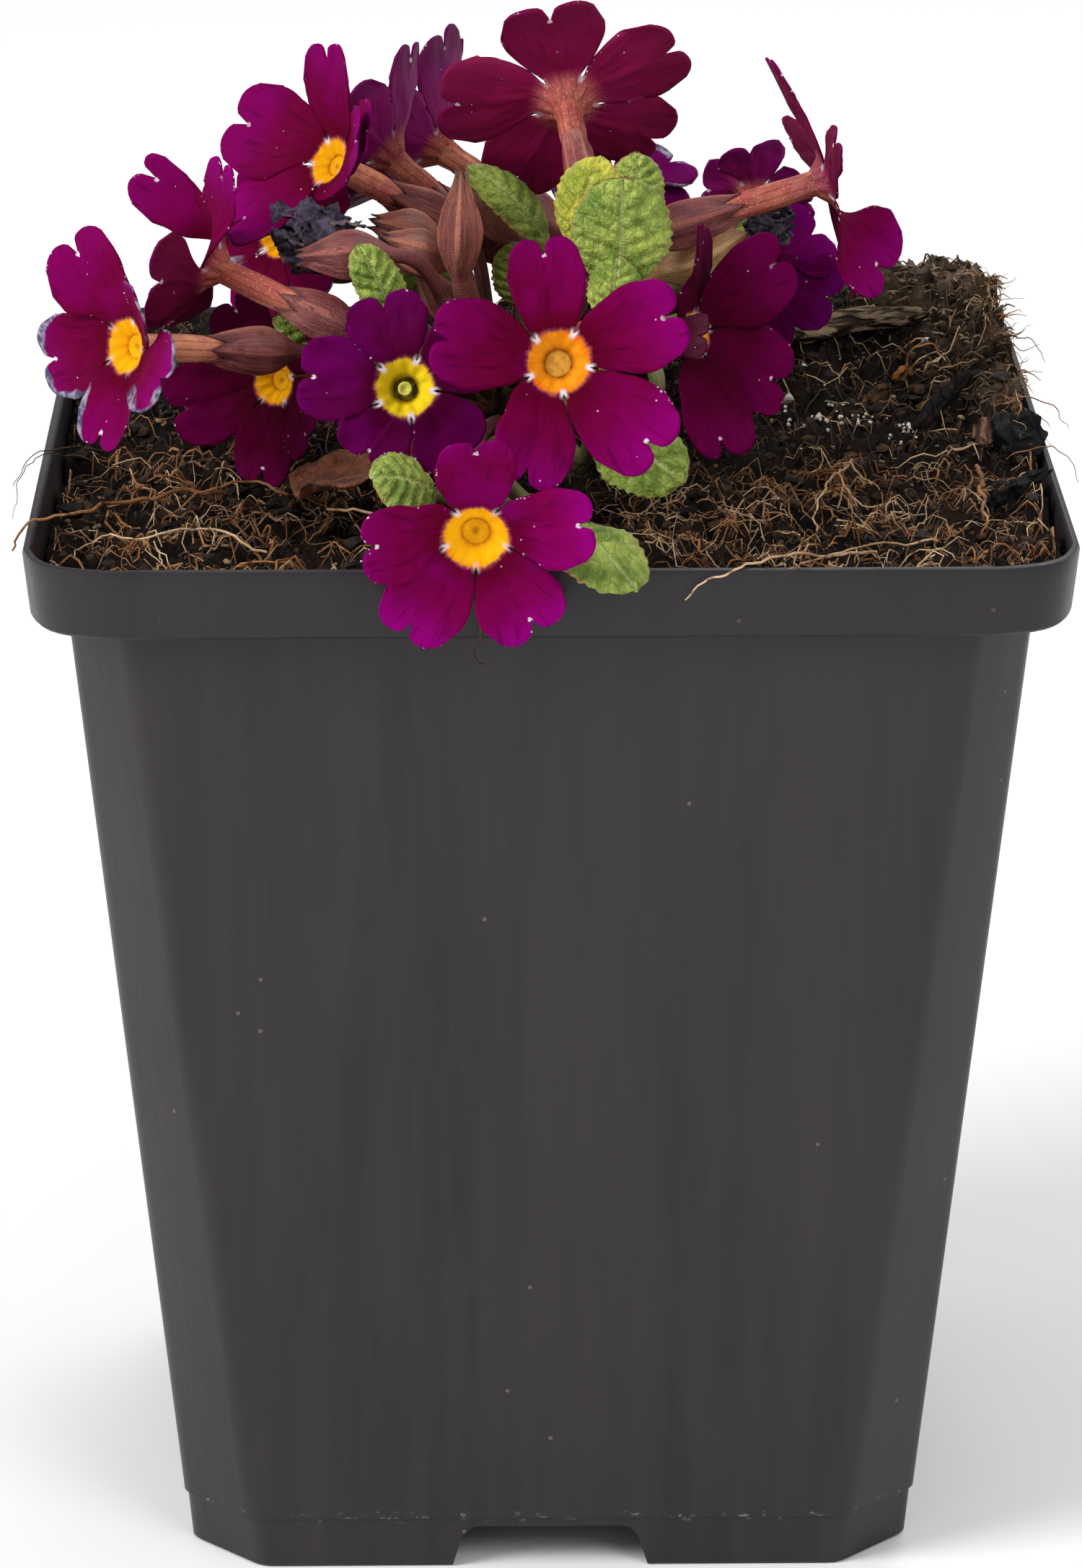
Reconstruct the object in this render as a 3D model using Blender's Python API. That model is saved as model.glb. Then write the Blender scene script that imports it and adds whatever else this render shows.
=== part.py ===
# A primrose in its square nursery pot: pot, root ball, crown, stalks, flowers, leaves and litter.
# The layout is in millimetres from the middle of the pot's base, with the front towards -Y.
import math

import bmesh
import bpy
from mathutils import Matrix, Vector, noise
from mathutils.bvhtree import BVHTree

MM = 0.001
SHARP_ANGLE = math.radians(40)

# Pot: half widths across the flats at each height, and the corner's leg
POT_HEIGHT = 119.3
RIM_HALF = 55.0
RIM_FOOT_HALF = 54.27
RIM_FOOT = 111.7
RIM_CORNER = 9.1
BODY_TOP_HALF = 50.55
BODY_FOOT_HALF = 40.62
BODY_FOOT = 6.4
SKIRT_TOP_HALF = 40.3
SKIRT_HALF = 39.74
TOP_CHAMFER = 6.34
BOTTOM_CHAMFER = 7.79
ROUND_BULGE = 0.293
CHAMFER_LOSS = 0.4
WALL = 1.1
SKIRT_LIP = 0.15
FLOOR_UNDERSIDE = 5.2
CORNER_STEPS = 4
# Drainage openings under the floor: two crossing channels with rounded upper corners
NOTCH_TOP_WIDTH = 18.7
NOTCH_BOTTOM_WIDTH = 21.6
NOTCH_HEIGHT = 5.0
NOTCH_ROUNDING = 1.2
CUTTER_REACH = 60.0
CUTTER_DROP = 1.0
DRAIN_RADIUS = 3.5
DRAIN_SPACING = 22.0
DRAIN_SIDES = 12

# Gap between neighbouring pieces
GAP = 0.3

# Root ball
SOIL_LEVEL = 117.4
SOIL_LEFT_DROP = 2.6
SLOPE_START = -6.0
SLOPE_WIDTH = 22.0
LUMP_SIZE = 9.0
LUMP_HEIGHT = 0.8
SOIL_RINGS = (1, 0.82, 0.62, 0.42, 0.24, 0.1)
MOUND_AT = Vector((42, 50))
MOUND_HEIGHT = 9.0
MOUND_SPREAD = (22.0, 11.0)

# Crown: a half ball at the soil surface. Stalks and leaf stalks start on it.
CROWN_AT = Vector((-4, 8, SOIL_LEVEL + GAP))
CROWN_RADIUS = 9.0
CROWN_LATITUDES = (0, 22, 45, 68)
CROWN_SIDES = 14
ROOT_CLEARANCE = 0.3
ROOT_SPACING = 15.0
LOWEST_ROOT = 9.0
SPREAD_ROUNDS = 400
SPREAD_PUSH = 0.25
# How strongly a stalk keeps its direction at the crown and at its far end, as a share of its span
LEAVE = 0.35
ARRIVE = 0.22
LEAF_ARRIVE = 0.45
PATH_STEPS = 6

# Flower
PETAL_COUNT = 5
PETAL_THICKNESS = 0.4
PETAL_CURL = 0.25
EYE_RADIUS = 3.1
EYE_DEPTH = 1.6
TUBE_MOUTH_RADIUS = 1.5
TUBE_RADIUS = 1.25
MOUTH_GAP = GAP + 0.1
NOTCH_DEPTH = 0.13
# Distance from the middle and half width of each petal row, as shares of the reach. The last row is notched.
PETAL_ROWS = ((0.50, 0.31), (0.80, 0.39), (1.0, 0.20))
PETAL_FOOT_ANGLE = math.radians(29)
CALYX_LENGTH = 10.5
CALYX_RADIUS = 2.5
CALYX_RIB = 0.06
# Share of the calyx's length, and share of its radius there
CALYX_PROFILE = ((0.12, 0.62), (0.35, 0.95), (0.6, 1.0), (0.85, 0.8), (1.0, 0.62))
STALK_RADIUS = 0.85

# eye: the middle of the limb; face: the way the flower looks; spin: the first petal's turn from straight up;
# reach: petal length; cup: how far the petals lean forward, in degrees; tube: its length clear of the calyx
FLOWERS = {
    "a": dict(eye=(-44.6, -30, 136.6), face=(-0.75, -0.63, 0.19), spin=22, reach=12.0, cup=6, tube=12.5),
    "b": dict(eye=(-36.0, -10, 140.3), face=(-0.88, 0.33, 0.35), spin=24, reach=12.5, cup=10, tube=7.0),
    "c": dict(eye=(-23.6, 0, 149.5), face=(-0.70, -0.52, 0.50), spin=0, reach=13.4, cup=10, tube=10.5),
    "d": dict(eye=(-29.2, 9, 139.0), face=(-0.50, -0.75, 0.40), spin=30, reach=9.5, cup=0, tube=8.0),
    "e": dict(eye=(-29.6, -9, 127.1), face=(-0.60, -0.80, 0.12), spin=38, reach=11.5, cup=4, tube=8.0),
    "f": dict(eye=(-15.2, -38, 134.1), face=(-0.03, -0.95, 0.30), spin=13, reach=9.6, cup=-4, tube=8.0),
    "g": dict(eye=(0.7, -47, 139.2), face=(0.02, -0.94, 0.34), spin=8, reach=14.2, cup=4, tube=8.0),
    "h": dict(eye=(-7.9, -59, 124.0), face=(0, -0.98, -0.12), spin=0, reach=12.0, cup=-4, tube=8.0),
    "i": dict(eye=(15.5, -24, 136.2), face=(0.74, -0.63, 0.22), spin=18, reach=13.2, cup=8, tube=8.0),
    "j": dict(eye=(2.4, 5, 155.0), face=(-0.10, 0.92, 0.38), spin=-10, reach=14.2, cup=0, tube=9.0),
    "k": dict(eye=(-17.8, 19, 146.1), face=(-0.75, 0.30, 0.58), spin=10, reach=11.0, cup=38, tube=9.0),
    "l": dict(eye=(-12.3, 33, 143.8), face=(-0.80, 0.30, 0.50), spin=-8, reach=12.0, cup=34, tube=9.0),
    "m": dict(eye=(30.9, 4, 146.3), face=(0.94, 0.10, 0.28), spin=10, reach=12.8, cup=-2, tube=11.5),
    "n": dict(eye=(28.6, 20, 133.6), face=(0.35, -0.85, 0.35), spin=30, reach=9.0, cup=0, tube=7.0),
    "o": dict(eye=(21.7, 31, 138.0), face=(0.75, 0.10, 0.62), spin=6, reach=8.5, cup=10, tube=7.0),
    "p": dict(eye=(7.0, 37, 137.2), face=(0.15, 0.75, 0.64), spin=20, reach=9.0, cup=-4, tube=7.0),
}
# Extra forward lean in degrees of single petals, the top one first and then round to the left
LEANS = {
    "h": (-14, 0, 0, 0, 0),
    "k": (0, -40, 0, 0, 0),
    "l": (0, 0, 0, 0, 30),
    "m": (-4, 16, 0, 0, 18),
}
# Share of the full reach that single petals have, in the same order
LENGTHS = {
    "a": (1, 1, 1, 0.75, 0.7),
    "c": (1, 1, 0.9, 0.72, 1),
    "e": (0.55, 1, 1, 0.8, 0.55),
    "i": (0.9, 1, 1, 1, 1),
}

PURPLE = (0.20, 0.004, 0.115)
VIOLET = (0.13, 0.004, 0.19)
WINE = (0.09, 0.002, 0.03)
HUES = {"e": WINE, "f": VIOLET, "i": WINE, "k": VIOLET, "l": VIOLET, "n": VIOLET, "o": VIOLET, "p": VIOLET}

# Spent calyxes: mouth, the way it points, and length
SPENT = {
    "a": dict(mouth=(-9.1, -6, 149.9), points=(0.02, 0.05, 1), length=12.5),
    "b": dict(mouth=(-7.8, 12.5, 145.0), points=(-0.55, 0.25, 0.75), length=10.0),
    "c": dict(mouth=(-19.3, 1.5, 142.4), points=(-0.90, -0.15, 0.32), length=8.8),
    "d": dict(mouth=(-18.2, -3.5, 141.6), points=(-0.88, -0.20, 0.38), length=8.6),
    "e": dict(mouth=(-27.0, -12, 141.6), points=(-0.98, 0.10, -0.05), length=10.8),
    "f": dict(mouth=(21.7, 8, 139.4), points=(0.90, 0.12, 0.42), length=9.0),
}
SPENT_RADIUS = 2.3
# Withered corollas that still hang in two of them: dented balls
CRUMPLE_DEPTH = 0.28
CRUMPLE_SCALE = 1.7
WITHERED = {
    "a": dict(at=(-22.2, -2.9, 142.2), size=(4.3, 2.4, 2.9)),
    "b": dict(at=(25.1, 9.0, 140.6), size=(3.4, 2.8, 2.7)),
}

# Leaves: heel (where the blade begins), tip, which way its upper side looks, half width, and how far it bows
LEAVES = {
    "a": dict(heel=(7.0, -25.8, 143.1), tip=(10.4, -26.0, 154.3), face=(0.1, -0.95, 0.3), half=4.1, bow=1.0),
    "b": dict(heel=(2.9, -27, 147.0), tip=(5.3, -26, 156.3), face=(-0.6, -0.75, 0.2), half=3.0, bow=0.8),
    "c": dict(heel=(9.6, -9, 144.6), tip=(9.6, -7, 151.8), face=(0.1, -0.9, 0.4), half=2.6, bow=0.8),
    "d": dict(heel=(0.6, 4, 138.4), tip=(-7.9, 6, 147.0), face=(0.35, -0.65, 0.55), half=2.8, bow=2.0),
    "e": dict(heel=(6.5, -30, 138.5), tip=(7.2, -28, 145.0), face=(0.0, -0.9, 0.4), half=3.0, bow=0.8),
    "f": dict(heel=(-17.2, -16.5, 137.2), tip=(-20, -16, 143.5), face=(0.1, -0.9, 0.35), half=2.7, bow=0.8),
    "g": dict(heel=(-21.2, -4, 131.5), tip=(-28.6, -7, 135.2), face=(0.15, -0.8, 0.6), half=2.8, bow=1.0),
    "h": dict(heel=(-11.7, -43, 123.9), tip=(-18.2, -46, 126.7), face=(0, -0.6, 0.8), half=4.2, bow=1.0),
    "i": dict(heel=(0.5, -49, 122.2), tip=(8.0, -57.4, 118.3), face=(0.2, -0.55, 0.8), half=4.6, bow=1.6),
    "j": dict(heel=(4.4, -32, 128.3), tip=(13.4, -36, 123.6), face=(0, -0.75, 0.65), half=4.6, bow=1.0),
    "k": dict(heel=(22.6, 40, 122.5), tip=(33.2, 41, 123.5), face=(0, -0.5, 0.86), half=2.6, bow=0.6),
    "l": dict(heel=(18.7, 13, 133.1), tip=(23.0, 13, 136.8), face=(0, -0.75, 0.65), half=2.6, bow=0.8),
}
# Leaf stalks that come in from another side than their blade's line: the way they arrive and how strongly
LEAF_BENDS = {"a": ((-0.3, 0.3, 0.5), 0.7), "j": ((0, -0.6, 0.7), 0.4)}
LEAF_THICKNESS = 0.55
LEAF_STALK = 0.9
STALK_FLATNESS = 0.8
LENS_FLAT = 0.45
# Share of the blade's length, and share of its half width there
LEAF_OUTLINE = ((0.18, 0.62), (0.42, 0.96), (0.68, 1.0), (0.88, 0.66), (1.0, 0.2))

# Dead leaf and litter: both ends, half width and half thickness
LITTER = {
    "dead_leaf": dict(ends=((-14.5, -26, 121.6), (-26.0, -29, 119.4)), half=4.2, thick=0.3),
    "wood_chip": dict(ends=((27.5, 36, 120.0), (43.0, 36, 122.4)), half=2.4, thick=0.9),
    "dark_twig": dict(ends=((42.0, 4, 118.4), (47.5, 14, 121.4)), half=1.1, thick=1.0),
    "bark_piece": dict(ends=((48.8, -13, 118.8), (50.0, -3, 119.2)), half=2.4, thick=1.3),
}
LITTER_OUTLINE = (0.45, 0.95, 1.0, 0.8, 0.35)

PARTS = []


def clear_scene():
    for found in list(bpy.data.objects):
        bpy.data.objects.remove(found, do_unlink=True)


def material(name, color, roughness, metallic=0.0):
    made = bpy.data.materials.new(name)
    made.use_nodes = True
    shader = made.node_tree.nodes["Principled BSDF"]
    shader.inputs["Base Color"].default_value = (*color, 1.0)
    shader.inputs["Roughness"].default_value = roughness
    shader.inputs["Metallic"].default_value = metallic
    made.diffuse_color = (*color, 1.0)
    return made


def add_object(name, bm, parent):
    # Turns a bmesh in millimetres into a named object in metres
    bmesh.ops.recalc_face_normals(bm, faces=bm.faces[:])
    bmesh.ops.scale(bm, vec=(MM, MM, MM), verts=bm.verts[:])
    mesh = bpy.data.meshes.new(name)
    bm.to_mesh(mesh)
    bm.free()
    made = bpy.data.objects.new(name, mesh)
    bpy.context.collection.objects.link(made)
    made.parent = parent
    return made


def add_part(name, bm, look, parent):
    part = add_object(name, bm, parent)
    part.data.materials.append(look)
    part.data.shade_smooth()
    part.data.set_sharp_from_angle(angle=SHARP_ANGLE)
    PARTS.append(part)
    return part


def skin(rings):
    # A closed body through rings of points: a first face, then one extrusion for each further ring
    bm = bmesh.new()
    face = bm.faces.new([bm.verts.new(point) for point in rings[0]])
    order = list(face.verts)
    for number, ring in enumerate(rings[1:]):
        made = bmesh.ops.extrude_face_region(bm, geom=[face])["geom"]
        moved = next(item for item in made if isinstance(item, bmesh.types.BMFace))
        if number:
            bmesh.ops.delete(bm, geom=[face], context="FACES_ONLY")
        fresh = {}
        for old in order:
            partners = [edge.other_vert(old) for edge in old.link_edges]
            fresh[old] = next(vert for vert in partners if vert in moved.verts)
        order = [fresh[old] for old in order]
        for vert, point in zip(order, ring):
            vert.co = point
        face = moved
    return bm


def square(half, leg, bulge, height, steps=CORNER_STEPS):
    # A square outline with its corners cut off, or rounded when bulge is ROUND_BULGE
    points = []
    for corner in range(4):
        turn = Matrix.Rotation(corner * math.pi / 2, 2)
        for step in range(steps + 1):
            along = step / steps
            out = bulge * leg * math.sin(math.pi * along) / math.sqrt(2)
            flat = turn @ Vector((half - leg * along + out, half - leg * (1 - along) + out))
            points.append(Vector((flat.x, flat.y, height)))
    return points


def body_half(height):
    # Outer half width of the tapering body
    share = (height - BODY_FOOT) / (RIM_FOOT - BODY_FOOT)
    return BODY_FOOT_HALF + share * (BODY_TOP_HALF - BODY_FOOT_HALF)


def body_chamfer(height):
    share = height / RIM_FOOT
    return BOTTOM_CHAMFER + share * (TOP_CHAMFER - BOTTOM_CHAMFER)


def body_ring(height, inset):
    return square(body_half(height) - inset, body_chamfer(height) - CHAMFER_LOSS * inset, 0, height)


def cutter(name, bm, parent):
    made = add_object(name, bm, parent)
    made.hide_render = True
    made.display_type = "WIRE"
    return made


def cut(part, tool):
    boolean = part.modifiers.new("cut " + tool.name, "BOOLEAN")
    boolean.operation = "DIFFERENCE"
    boolean.solver = "EXACT"
    boolean.object = tool


def notch_bar(turn):
    # A long bar under the floor that opens the skirt in two opposite sides
    slope = (NOTCH_BOTTOM_WIDTH - NOTCH_TOP_WIDTH) / 2 / NOTCH_HEIGHT
    foot = NOTCH_BOTTOM_WIDTH / 2 + slope * CUTTER_DROP
    shoulder = NOTCH_TOP_WIDTH / 2 + slope * NOTCH_ROUNDING
    top = NOTCH_TOP_WIDTH / 2 - NOTCH_ROUNDING
    section = [(-foot, -CUTTER_DROP), (-shoulder, NOTCH_HEIGHT - NOTCH_ROUNDING), (-top, NOTCH_HEIGHT)]
    section += [(-y, z) for y, z in reversed(section)]
    rings = [[Vector((x, y, z)) for y, z in section] for x in (-CUTTER_REACH, CUTTER_REACH)]
    bm = skin(rings)
    bmesh.ops.rotate(bm, cent=(0, 0, 0), matrix=Matrix.Rotation(turn, 3, "Z"), verts=bm.verts[:])
    return bm


def make_pot(parent):
    # From the floor's underside down the skirt, up the outside, over the rim and down the inside
    ledge = RIM_FOOT + WALL
    inner_corner = RIM_CORNER - WALL
    inner_chamfer = BOTTOM_CHAMFER - CHAMFER_LOSS * WALL
    rings = [
        square(SKIRT_TOP_HALF - WALL, inner_chamfer, 0, FLOOR_UNDERSIDE),
        square(SKIRT_HALF - WALL, inner_chamfer, 0, 0),
        square(SKIRT_HALF, BOTTOM_CHAMFER, 0, 0),
        square(SKIRT_TOP_HALF, BOTTOM_CHAMFER, 0, BODY_FOOT - SKIRT_LIP),
        body_ring(BODY_FOOT, 0),
        body_ring(RIM_FOOT, 0),
        square(RIM_FOOT_HALF, RIM_CORNER, ROUND_BULGE, RIM_FOOT),
        square(RIM_HALF, RIM_CORNER, ROUND_BULGE, POT_HEIGHT),
        square(RIM_HALF - WALL, inner_corner, ROUND_BULGE, POT_HEIGHT),
        square(RIM_FOOT_HALF - WALL, inner_corner, ROUND_BULGE, ledge),
        body_ring(ledge, WALL),
        body_ring(BODY_FOOT, WALL),
    ]
    pot = add_part("pot", skin(rings), material("black plastic", (0.05, 0.046, 0.052), 0.42), parent)
    for number, turn in enumerate((0, math.pi / 2)):
        cut(pot, cutter(f"notch_cutter_{number + 1}", notch_bar(turn), parent))
    apart = (-DRAIN_SPACING, DRAIN_SPACING)
    places = [(0, 0)] + [(x, y) for x in apart for y in apart]
    for number, (x, y) in enumerate(places):
        bm = bmesh.new()
        at = Matrix.Translation((x, y, (FLOOR_UNDERSIDE + BODY_FOOT) / 2))
        sizes = dict(radius1=DRAIN_RADIUS, radius2=DRAIN_RADIUS, depth=DRAIN_RADIUS)
        bmesh.ops.create_cone(bm, cap_ends=True, segments=DRAIN_SIDES, matrix=at, **sizes)
        cut(pot, cutter(f"drain_cutter_{number + 1}", bm, parent))
    return pot


def soil_height(x, y):
    # Lower on the left, a mound at the back right, small lumps, and level under the crown
    left = min(max((SLOPE_START - x) / SLOPE_WIDTH, 0), 1)
    rise = -SOIL_LEFT_DROP * left * left * (3 - 2 * left)
    away = ((x - MOUND_AT.x) / MOUND_SPREAD[0]) ** 2 + ((y - MOUND_AT.y) / MOUND_SPREAD[1]) ** 2
    rise += MOUND_HEIGHT * math.exp(-away)
    rise += LUMP_HEIGHT * noise.noise(Vector((x, y, LUMP_SIZE / 2)) / LUMP_SIZE)
    beside_crown = (Vector((x, y)) - CROWN_AT.xy).length - CROWN_RADIUS - 1
    return SOIL_LEVEL + rise * min(max(beside_crown / LUMP_SIZE, 0), 1)


def make_soil(parent):
    foot = BODY_FOOT + GAP
    ledge = RIM_FOOT + WALL + GAP
    side = WALL + GAP
    edge = square(RIM_FOOT_HALF + GAP - side, RIM_CORNER - side, ROUND_BULGE, 0)
    rings = [
        body_ring(foot, side),
        body_ring(ledge, side),
        square(RIM_FOOT_HALF - side, RIM_CORNER - side, ROUND_BULGE, ledge),
    ]
    for share in SOIL_RINGS:
        ring = [point.xy * share for point in edge]
        rings.append([Vector((x, y, soil_height(x, y))) for x, y in ring])
    return add_part("soil", skin(rings), material("peat", (0.028, 0.016, 0.009), 0.95), parent)


def make_crown(parent):
    rings = []
    for latitude in CROWN_LATITUDES:
        angle = math.radians(latitude)
        level = Vector((0, 0, CROWN_RADIUS * math.sin(angle)))
        ring = circle(CROWN_RADIUS * math.cos(angle), sides=CROWN_SIDES)
        rings.append([CROWN_AT + level + Vector((x, y, 0)) for x, y in ring])
    return add_part("root_crown", skin(rings), material("crown", (0.12, 0.07, 0.035), 0.85), parent)


def frame_of(forward, up=Vector((0, 0, 1))):
    # Columns are right, up and forward
    forward = forward.normalized()
    up = (up - up.project(forward)).normalized()
    return Matrix((up.cross(forward), up, forward)).transposed()


def bezier(start, leave, arrive, end):
    points = []
    for step in range(PATH_STEPS + 1):
        t = step / PATH_STEPS
        s = 1 - t
        points.append(s**3 * start + 3 * s * s * t * leave + 3 * s * t * t * arrive + t**3 * end)
    return points


def spread(wanted):
    # Pushes the root directions apart until each has room on the crown
    directions = {name: (aim - CROWN_AT).normalized() for name, aim in wanted.items()}
    least = math.radians(ROOT_SPACING)
    floor = math.sin(math.radians(LOWEST_ROOT))
    names = sorted(directions)
    for _ in range(SPREAD_ROUNDS):
        for number, first in enumerate(names):
            for second in names[number + 1 :]:
                a, b = directions[first], directions[second]
                angle = a.angle(b)
                if angle >= least:
                    continue
                push = (a - b).normalized() * (least - angle) * SPREAD_PUSH
                directions[first] = (a + push).normalized()
                directions[second] = (b - push).normalized()
        for name in names:
            aim = directions[name]
            aim.z = max(aim.z, floor)
            directions[name] = aim.normalized()
    return directions


def rooted(direction, end, arrive, keep=ARRIVE):
    # A path from the crown's surface to a piece's foot, bending smoothly into it
    start = CROWN_AT + direction * (CROWN_RADIUS + ROOT_CLEARANCE)
    span = (end - start).length
    return bezier(start, start + direction * span * LEAVE, end - arrive * span * keep, end)


def along_path(points, sections, up):
    # Rings of the given sections, each square to the path
    rings = []
    for number, (point, section) in enumerate(zip(points, sections)):
        before, after = points[max(number - 1, 0)], points[min(number + 1, len(points) - 1)]
        turn = frame_of(after - before, up)
        rings.append([point + turn @ Vector((x, y, 0)) for x, y in section])
    return rings


def circle(radius, sides=8, rib=0.0):
    return [
        (
            radius * (1 + rib * (-1) ** side) * math.cos(math.tau * side / sides),
            radius * (1 + rib * (-1) ** side) * math.sin(math.tau * side / sides),
        )
        for side in range(sides)
    ]


def make_stalk(name, path, mouth, direction, length, radius, look, parent):
    # The stalk from the crown, then the calyx that swells and narrows to its mouth
    points = list(path)
    sections = [circle(STALK_RADIUS)] * len(points)
    for share, width in CALYX_PROFILE:
        points.append(mouth - direction * length * (1 - share))
        sections.append(circle(radius * width, rib=CALYX_RIB))
    side = direction.orthogonal()
    return add_part(name, skin(along_path(points, sections, side)), look, parent)


def pull(bm, row, edges, points):
    # Extrudes the edges between a row of vertices, moves the new row to the points and returns it
    made = bmesh.ops.extrude_edge_only(bm, edges=edges)["geom"]
    new = {item for item in made if isinstance(item, bmesh.types.BMVert)}
    fresh = []
    for vert in row:
        partners = [edge.other_vert(vert) for edge in vert.link_edges]
        fresh.append(next(partner for partner in partners if partner in new))
    for vert, point in zip(fresh, points):
        vert.co = point
    return fresh


def petal_angle(flower, petal):
    # Direction of a petal's middle line, turning left from straight up
    return math.radians(90 + flower["spin"] + 360 / PETAL_COUNT * petal)


def throat_ring(flower, radius, depth):
    # Three points for each petal, which leave a narrow gap between neighbouring petals
    points = []
    for petal in range(PETAL_COUNT):
        for step in (-1, 0, 1):
            angle = petal_angle(flower, petal) + PETAL_FOOT_ANGLE * step
            points.append(Vector((radius * math.cos(angle), radius * math.sin(angle), depth)))
    return points


def petal_row(angle, rise, far, half, dent):
    # A row of three points across a petal that leans forward by rise, with its edges curling forward
    out = Vector((math.cos(angle), math.sin(angle), 0))
    across = Vector((-math.sin(angle), math.cos(angle), 0))
    points = []
    for side in (-1, 0, 1):
        run = far - EYE_RADIUS - (dent if side == 0 else 0)
        forward = run * math.sin(rise) + PETAL_CURL * abs(side)
        flat = out * (EYE_RADIUS + run * math.cos(rise)) + across * half * side
        points.append(flat + Vector((0, 0, forward)))
    return points


def make_corolla(name, flower, look, parent):
    # A sheet from the tube's back end through the sunken eye, then five petals. Solidify gives it thickness.
    bm = bmesh.new()
    current = [bm.verts.new(point) for point in throat_ring(flower, TUBE_RADIUS, -flower["tube"])]
    count = len(current)
    rim = [bm.edges.new((current[i], current[(i + 1) % count])) for i in range(count)]
    for radius, depth in ((TUBE_MOUTH_RADIUS, -EYE_DEPTH), (EYE_RADIUS, 0)):
        current = pull(bm, current, rim, throat_ring(flower, radius, depth))
        rim = [bm.edges.get((current[i], current[(i + 1) % count])) for i in range(count)]
    leans = LEANS.get(name, (0,) * PETAL_COUNT)
    lengths = LENGTHS.get(name, (1,) * PETAL_COUNT)
    for petal in range(PETAL_COUNT):
        row = current[3 * petal : 3 * petal + 3]
        rise = math.radians(flower["cup"] + leans[petal])
        reach = flower["reach"] * lengths[petal]
        for far, half in PETAL_ROWS:
            edges = [bm.edges.get((row[0], row[1])), bm.edges.get((row[1], row[2]))]
            dent = NOTCH_DEPTH * reach if far == 1 else 0
            points = petal_row(petal_angle(flower, petal), rise, far * reach, half * reach, dent)
            row = pull(bm, row, edges, points)
    turn = frame_of(Vector(flower["face"]))
    bmesh.ops.rotate(bm, cent=(0, 0, 0), matrix=turn, verts=bm.verts[:])
    part = add_part(f"corolla_{name}", bm, look, parent)
    part.location = Vector(flower["eye"]) * MM
    thick = part.modifiers.new("thickness", "SOLIDIFY")
    thick.thickness = PETAL_THICKNESS * MM
    thick.offset = 0


def make_flowers(roots, parent):
    calyx_look = material("calyx", (0.16, 0.055, 0.045), 0.7)
    for name, flower in FLOWERS.items():
        face = Vector(flower["face"]).normalized()
        mouth = Vector(flower["eye"]) - face * (flower["tube"] + MOUTH_GAP)
        foot = mouth - face * CALYX_LENGTH
        path = rooted(roots["flower_" + name], foot, face)
        make_stalk(f"flower_stalk_{name}", path, mouth, face, CALYX_LENGTH, CALYX_RADIUS, calyx_look, parent)
        look = material("petals " + name, HUES.get(name, PURPLE), 0.5)
        make_corolla(name, flower, look, parent)


def make_spent(roots, parent):
    spent_look = material("spent calyx", (0.17, 0.075, 0.05), 0.8)
    for name, calyx in SPENT.items():
        points = Vector(calyx["points"]).normalized()
        mouth = Vector(calyx["mouth"])
        length = calyx["length"]
        foot = mouth - points * length
        path = rooted(roots["spent_" + name], foot, points)
        make_stalk(f"spent_stalk_{name}", path, mouth, points, length, SPENT_RADIUS, spent_look, parent)
    withered_look = material("withered petals", (0.035, 0.03, 0.06), 0.85)
    for name, crumple in WITHERED.items():
        bm = bmesh.new()
        bmesh.ops.create_icosphere(bm, subdivisions=2, radius=1)
        for vert in bm.verts:
            vert.co *= 1 + CRUMPLE_DEPTH * (noise.noise(vert.co * CRUMPLE_SCALE) - 0.5)
        bmesh.ops.scale(bm, vec=crumple["size"], verts=bm.verts[:])
        bmesh.ops.translate(bm, vec=crumple["at"], verts=bm.verts[:])
        add_part(f"withered_corolla_{name}", bm, withered_look, parent)


def blade_section(half, thick):
    # A flat lens of six points
    inner = half * LENS_FLAT
    return [(half, 0), (inner, thick), (-inner, thick), (-half, 0), (-inner, -thick), (inner, -thick)]


def make_leaves(roots, parent):
    look = material("leaf", (0.12, 0.21, 0.03), 0.55)
    for name, leaf in LEAVES.items():
        heel, tip = Vector(leaf["heel"]), Vector(leaf["tip"])
        face = Vector(leaf["face"]).normalized()
        along = (tip - heel).normalized()
        arrive, keep = LEAF_BENDS.get(name, (along, LEAF_ARRIVE))
        path = rooted(roots["leaf_" + name], heel, Vector(arrive).normalized(), keep)
        sections = [blade_section(LEAF_STALK, LEAF_STALK * STALK_FLATNESS)] * len(path)
        for share, width in LEAF_OUTLINE:
            bow = leaf["bow"] * math.sin(math.pi * share)
            path.append(heel.lerp(tip, share) + face * bow)
            sections.append(blade_section(leaf["half"] * width, LEAF_THICKNESS / 2))
        add_part(f"leaf_{name}", skin(along_path(path, sections, face)), look, parent)


def lie_on(bm, ground):
    # Lowers or lifts the piece until its lowest point clears the soil by the gap
    def clearance(vert):
        above = Vector((vert.co.x, vert.co.y, POT_HEIGHT * 2)) * MM
        hit = ground.ray_cast(above, Vector((0, 0, -1)))[0]
        return vert.co.z - hit.z / MM

    drop = min(clearance(vert) for vert in bm.verts) - 1.4 * GAP
    bmesh.ops.translate(bm, vec=(0, 0, -drop), verts=bm.verts[:])


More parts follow.
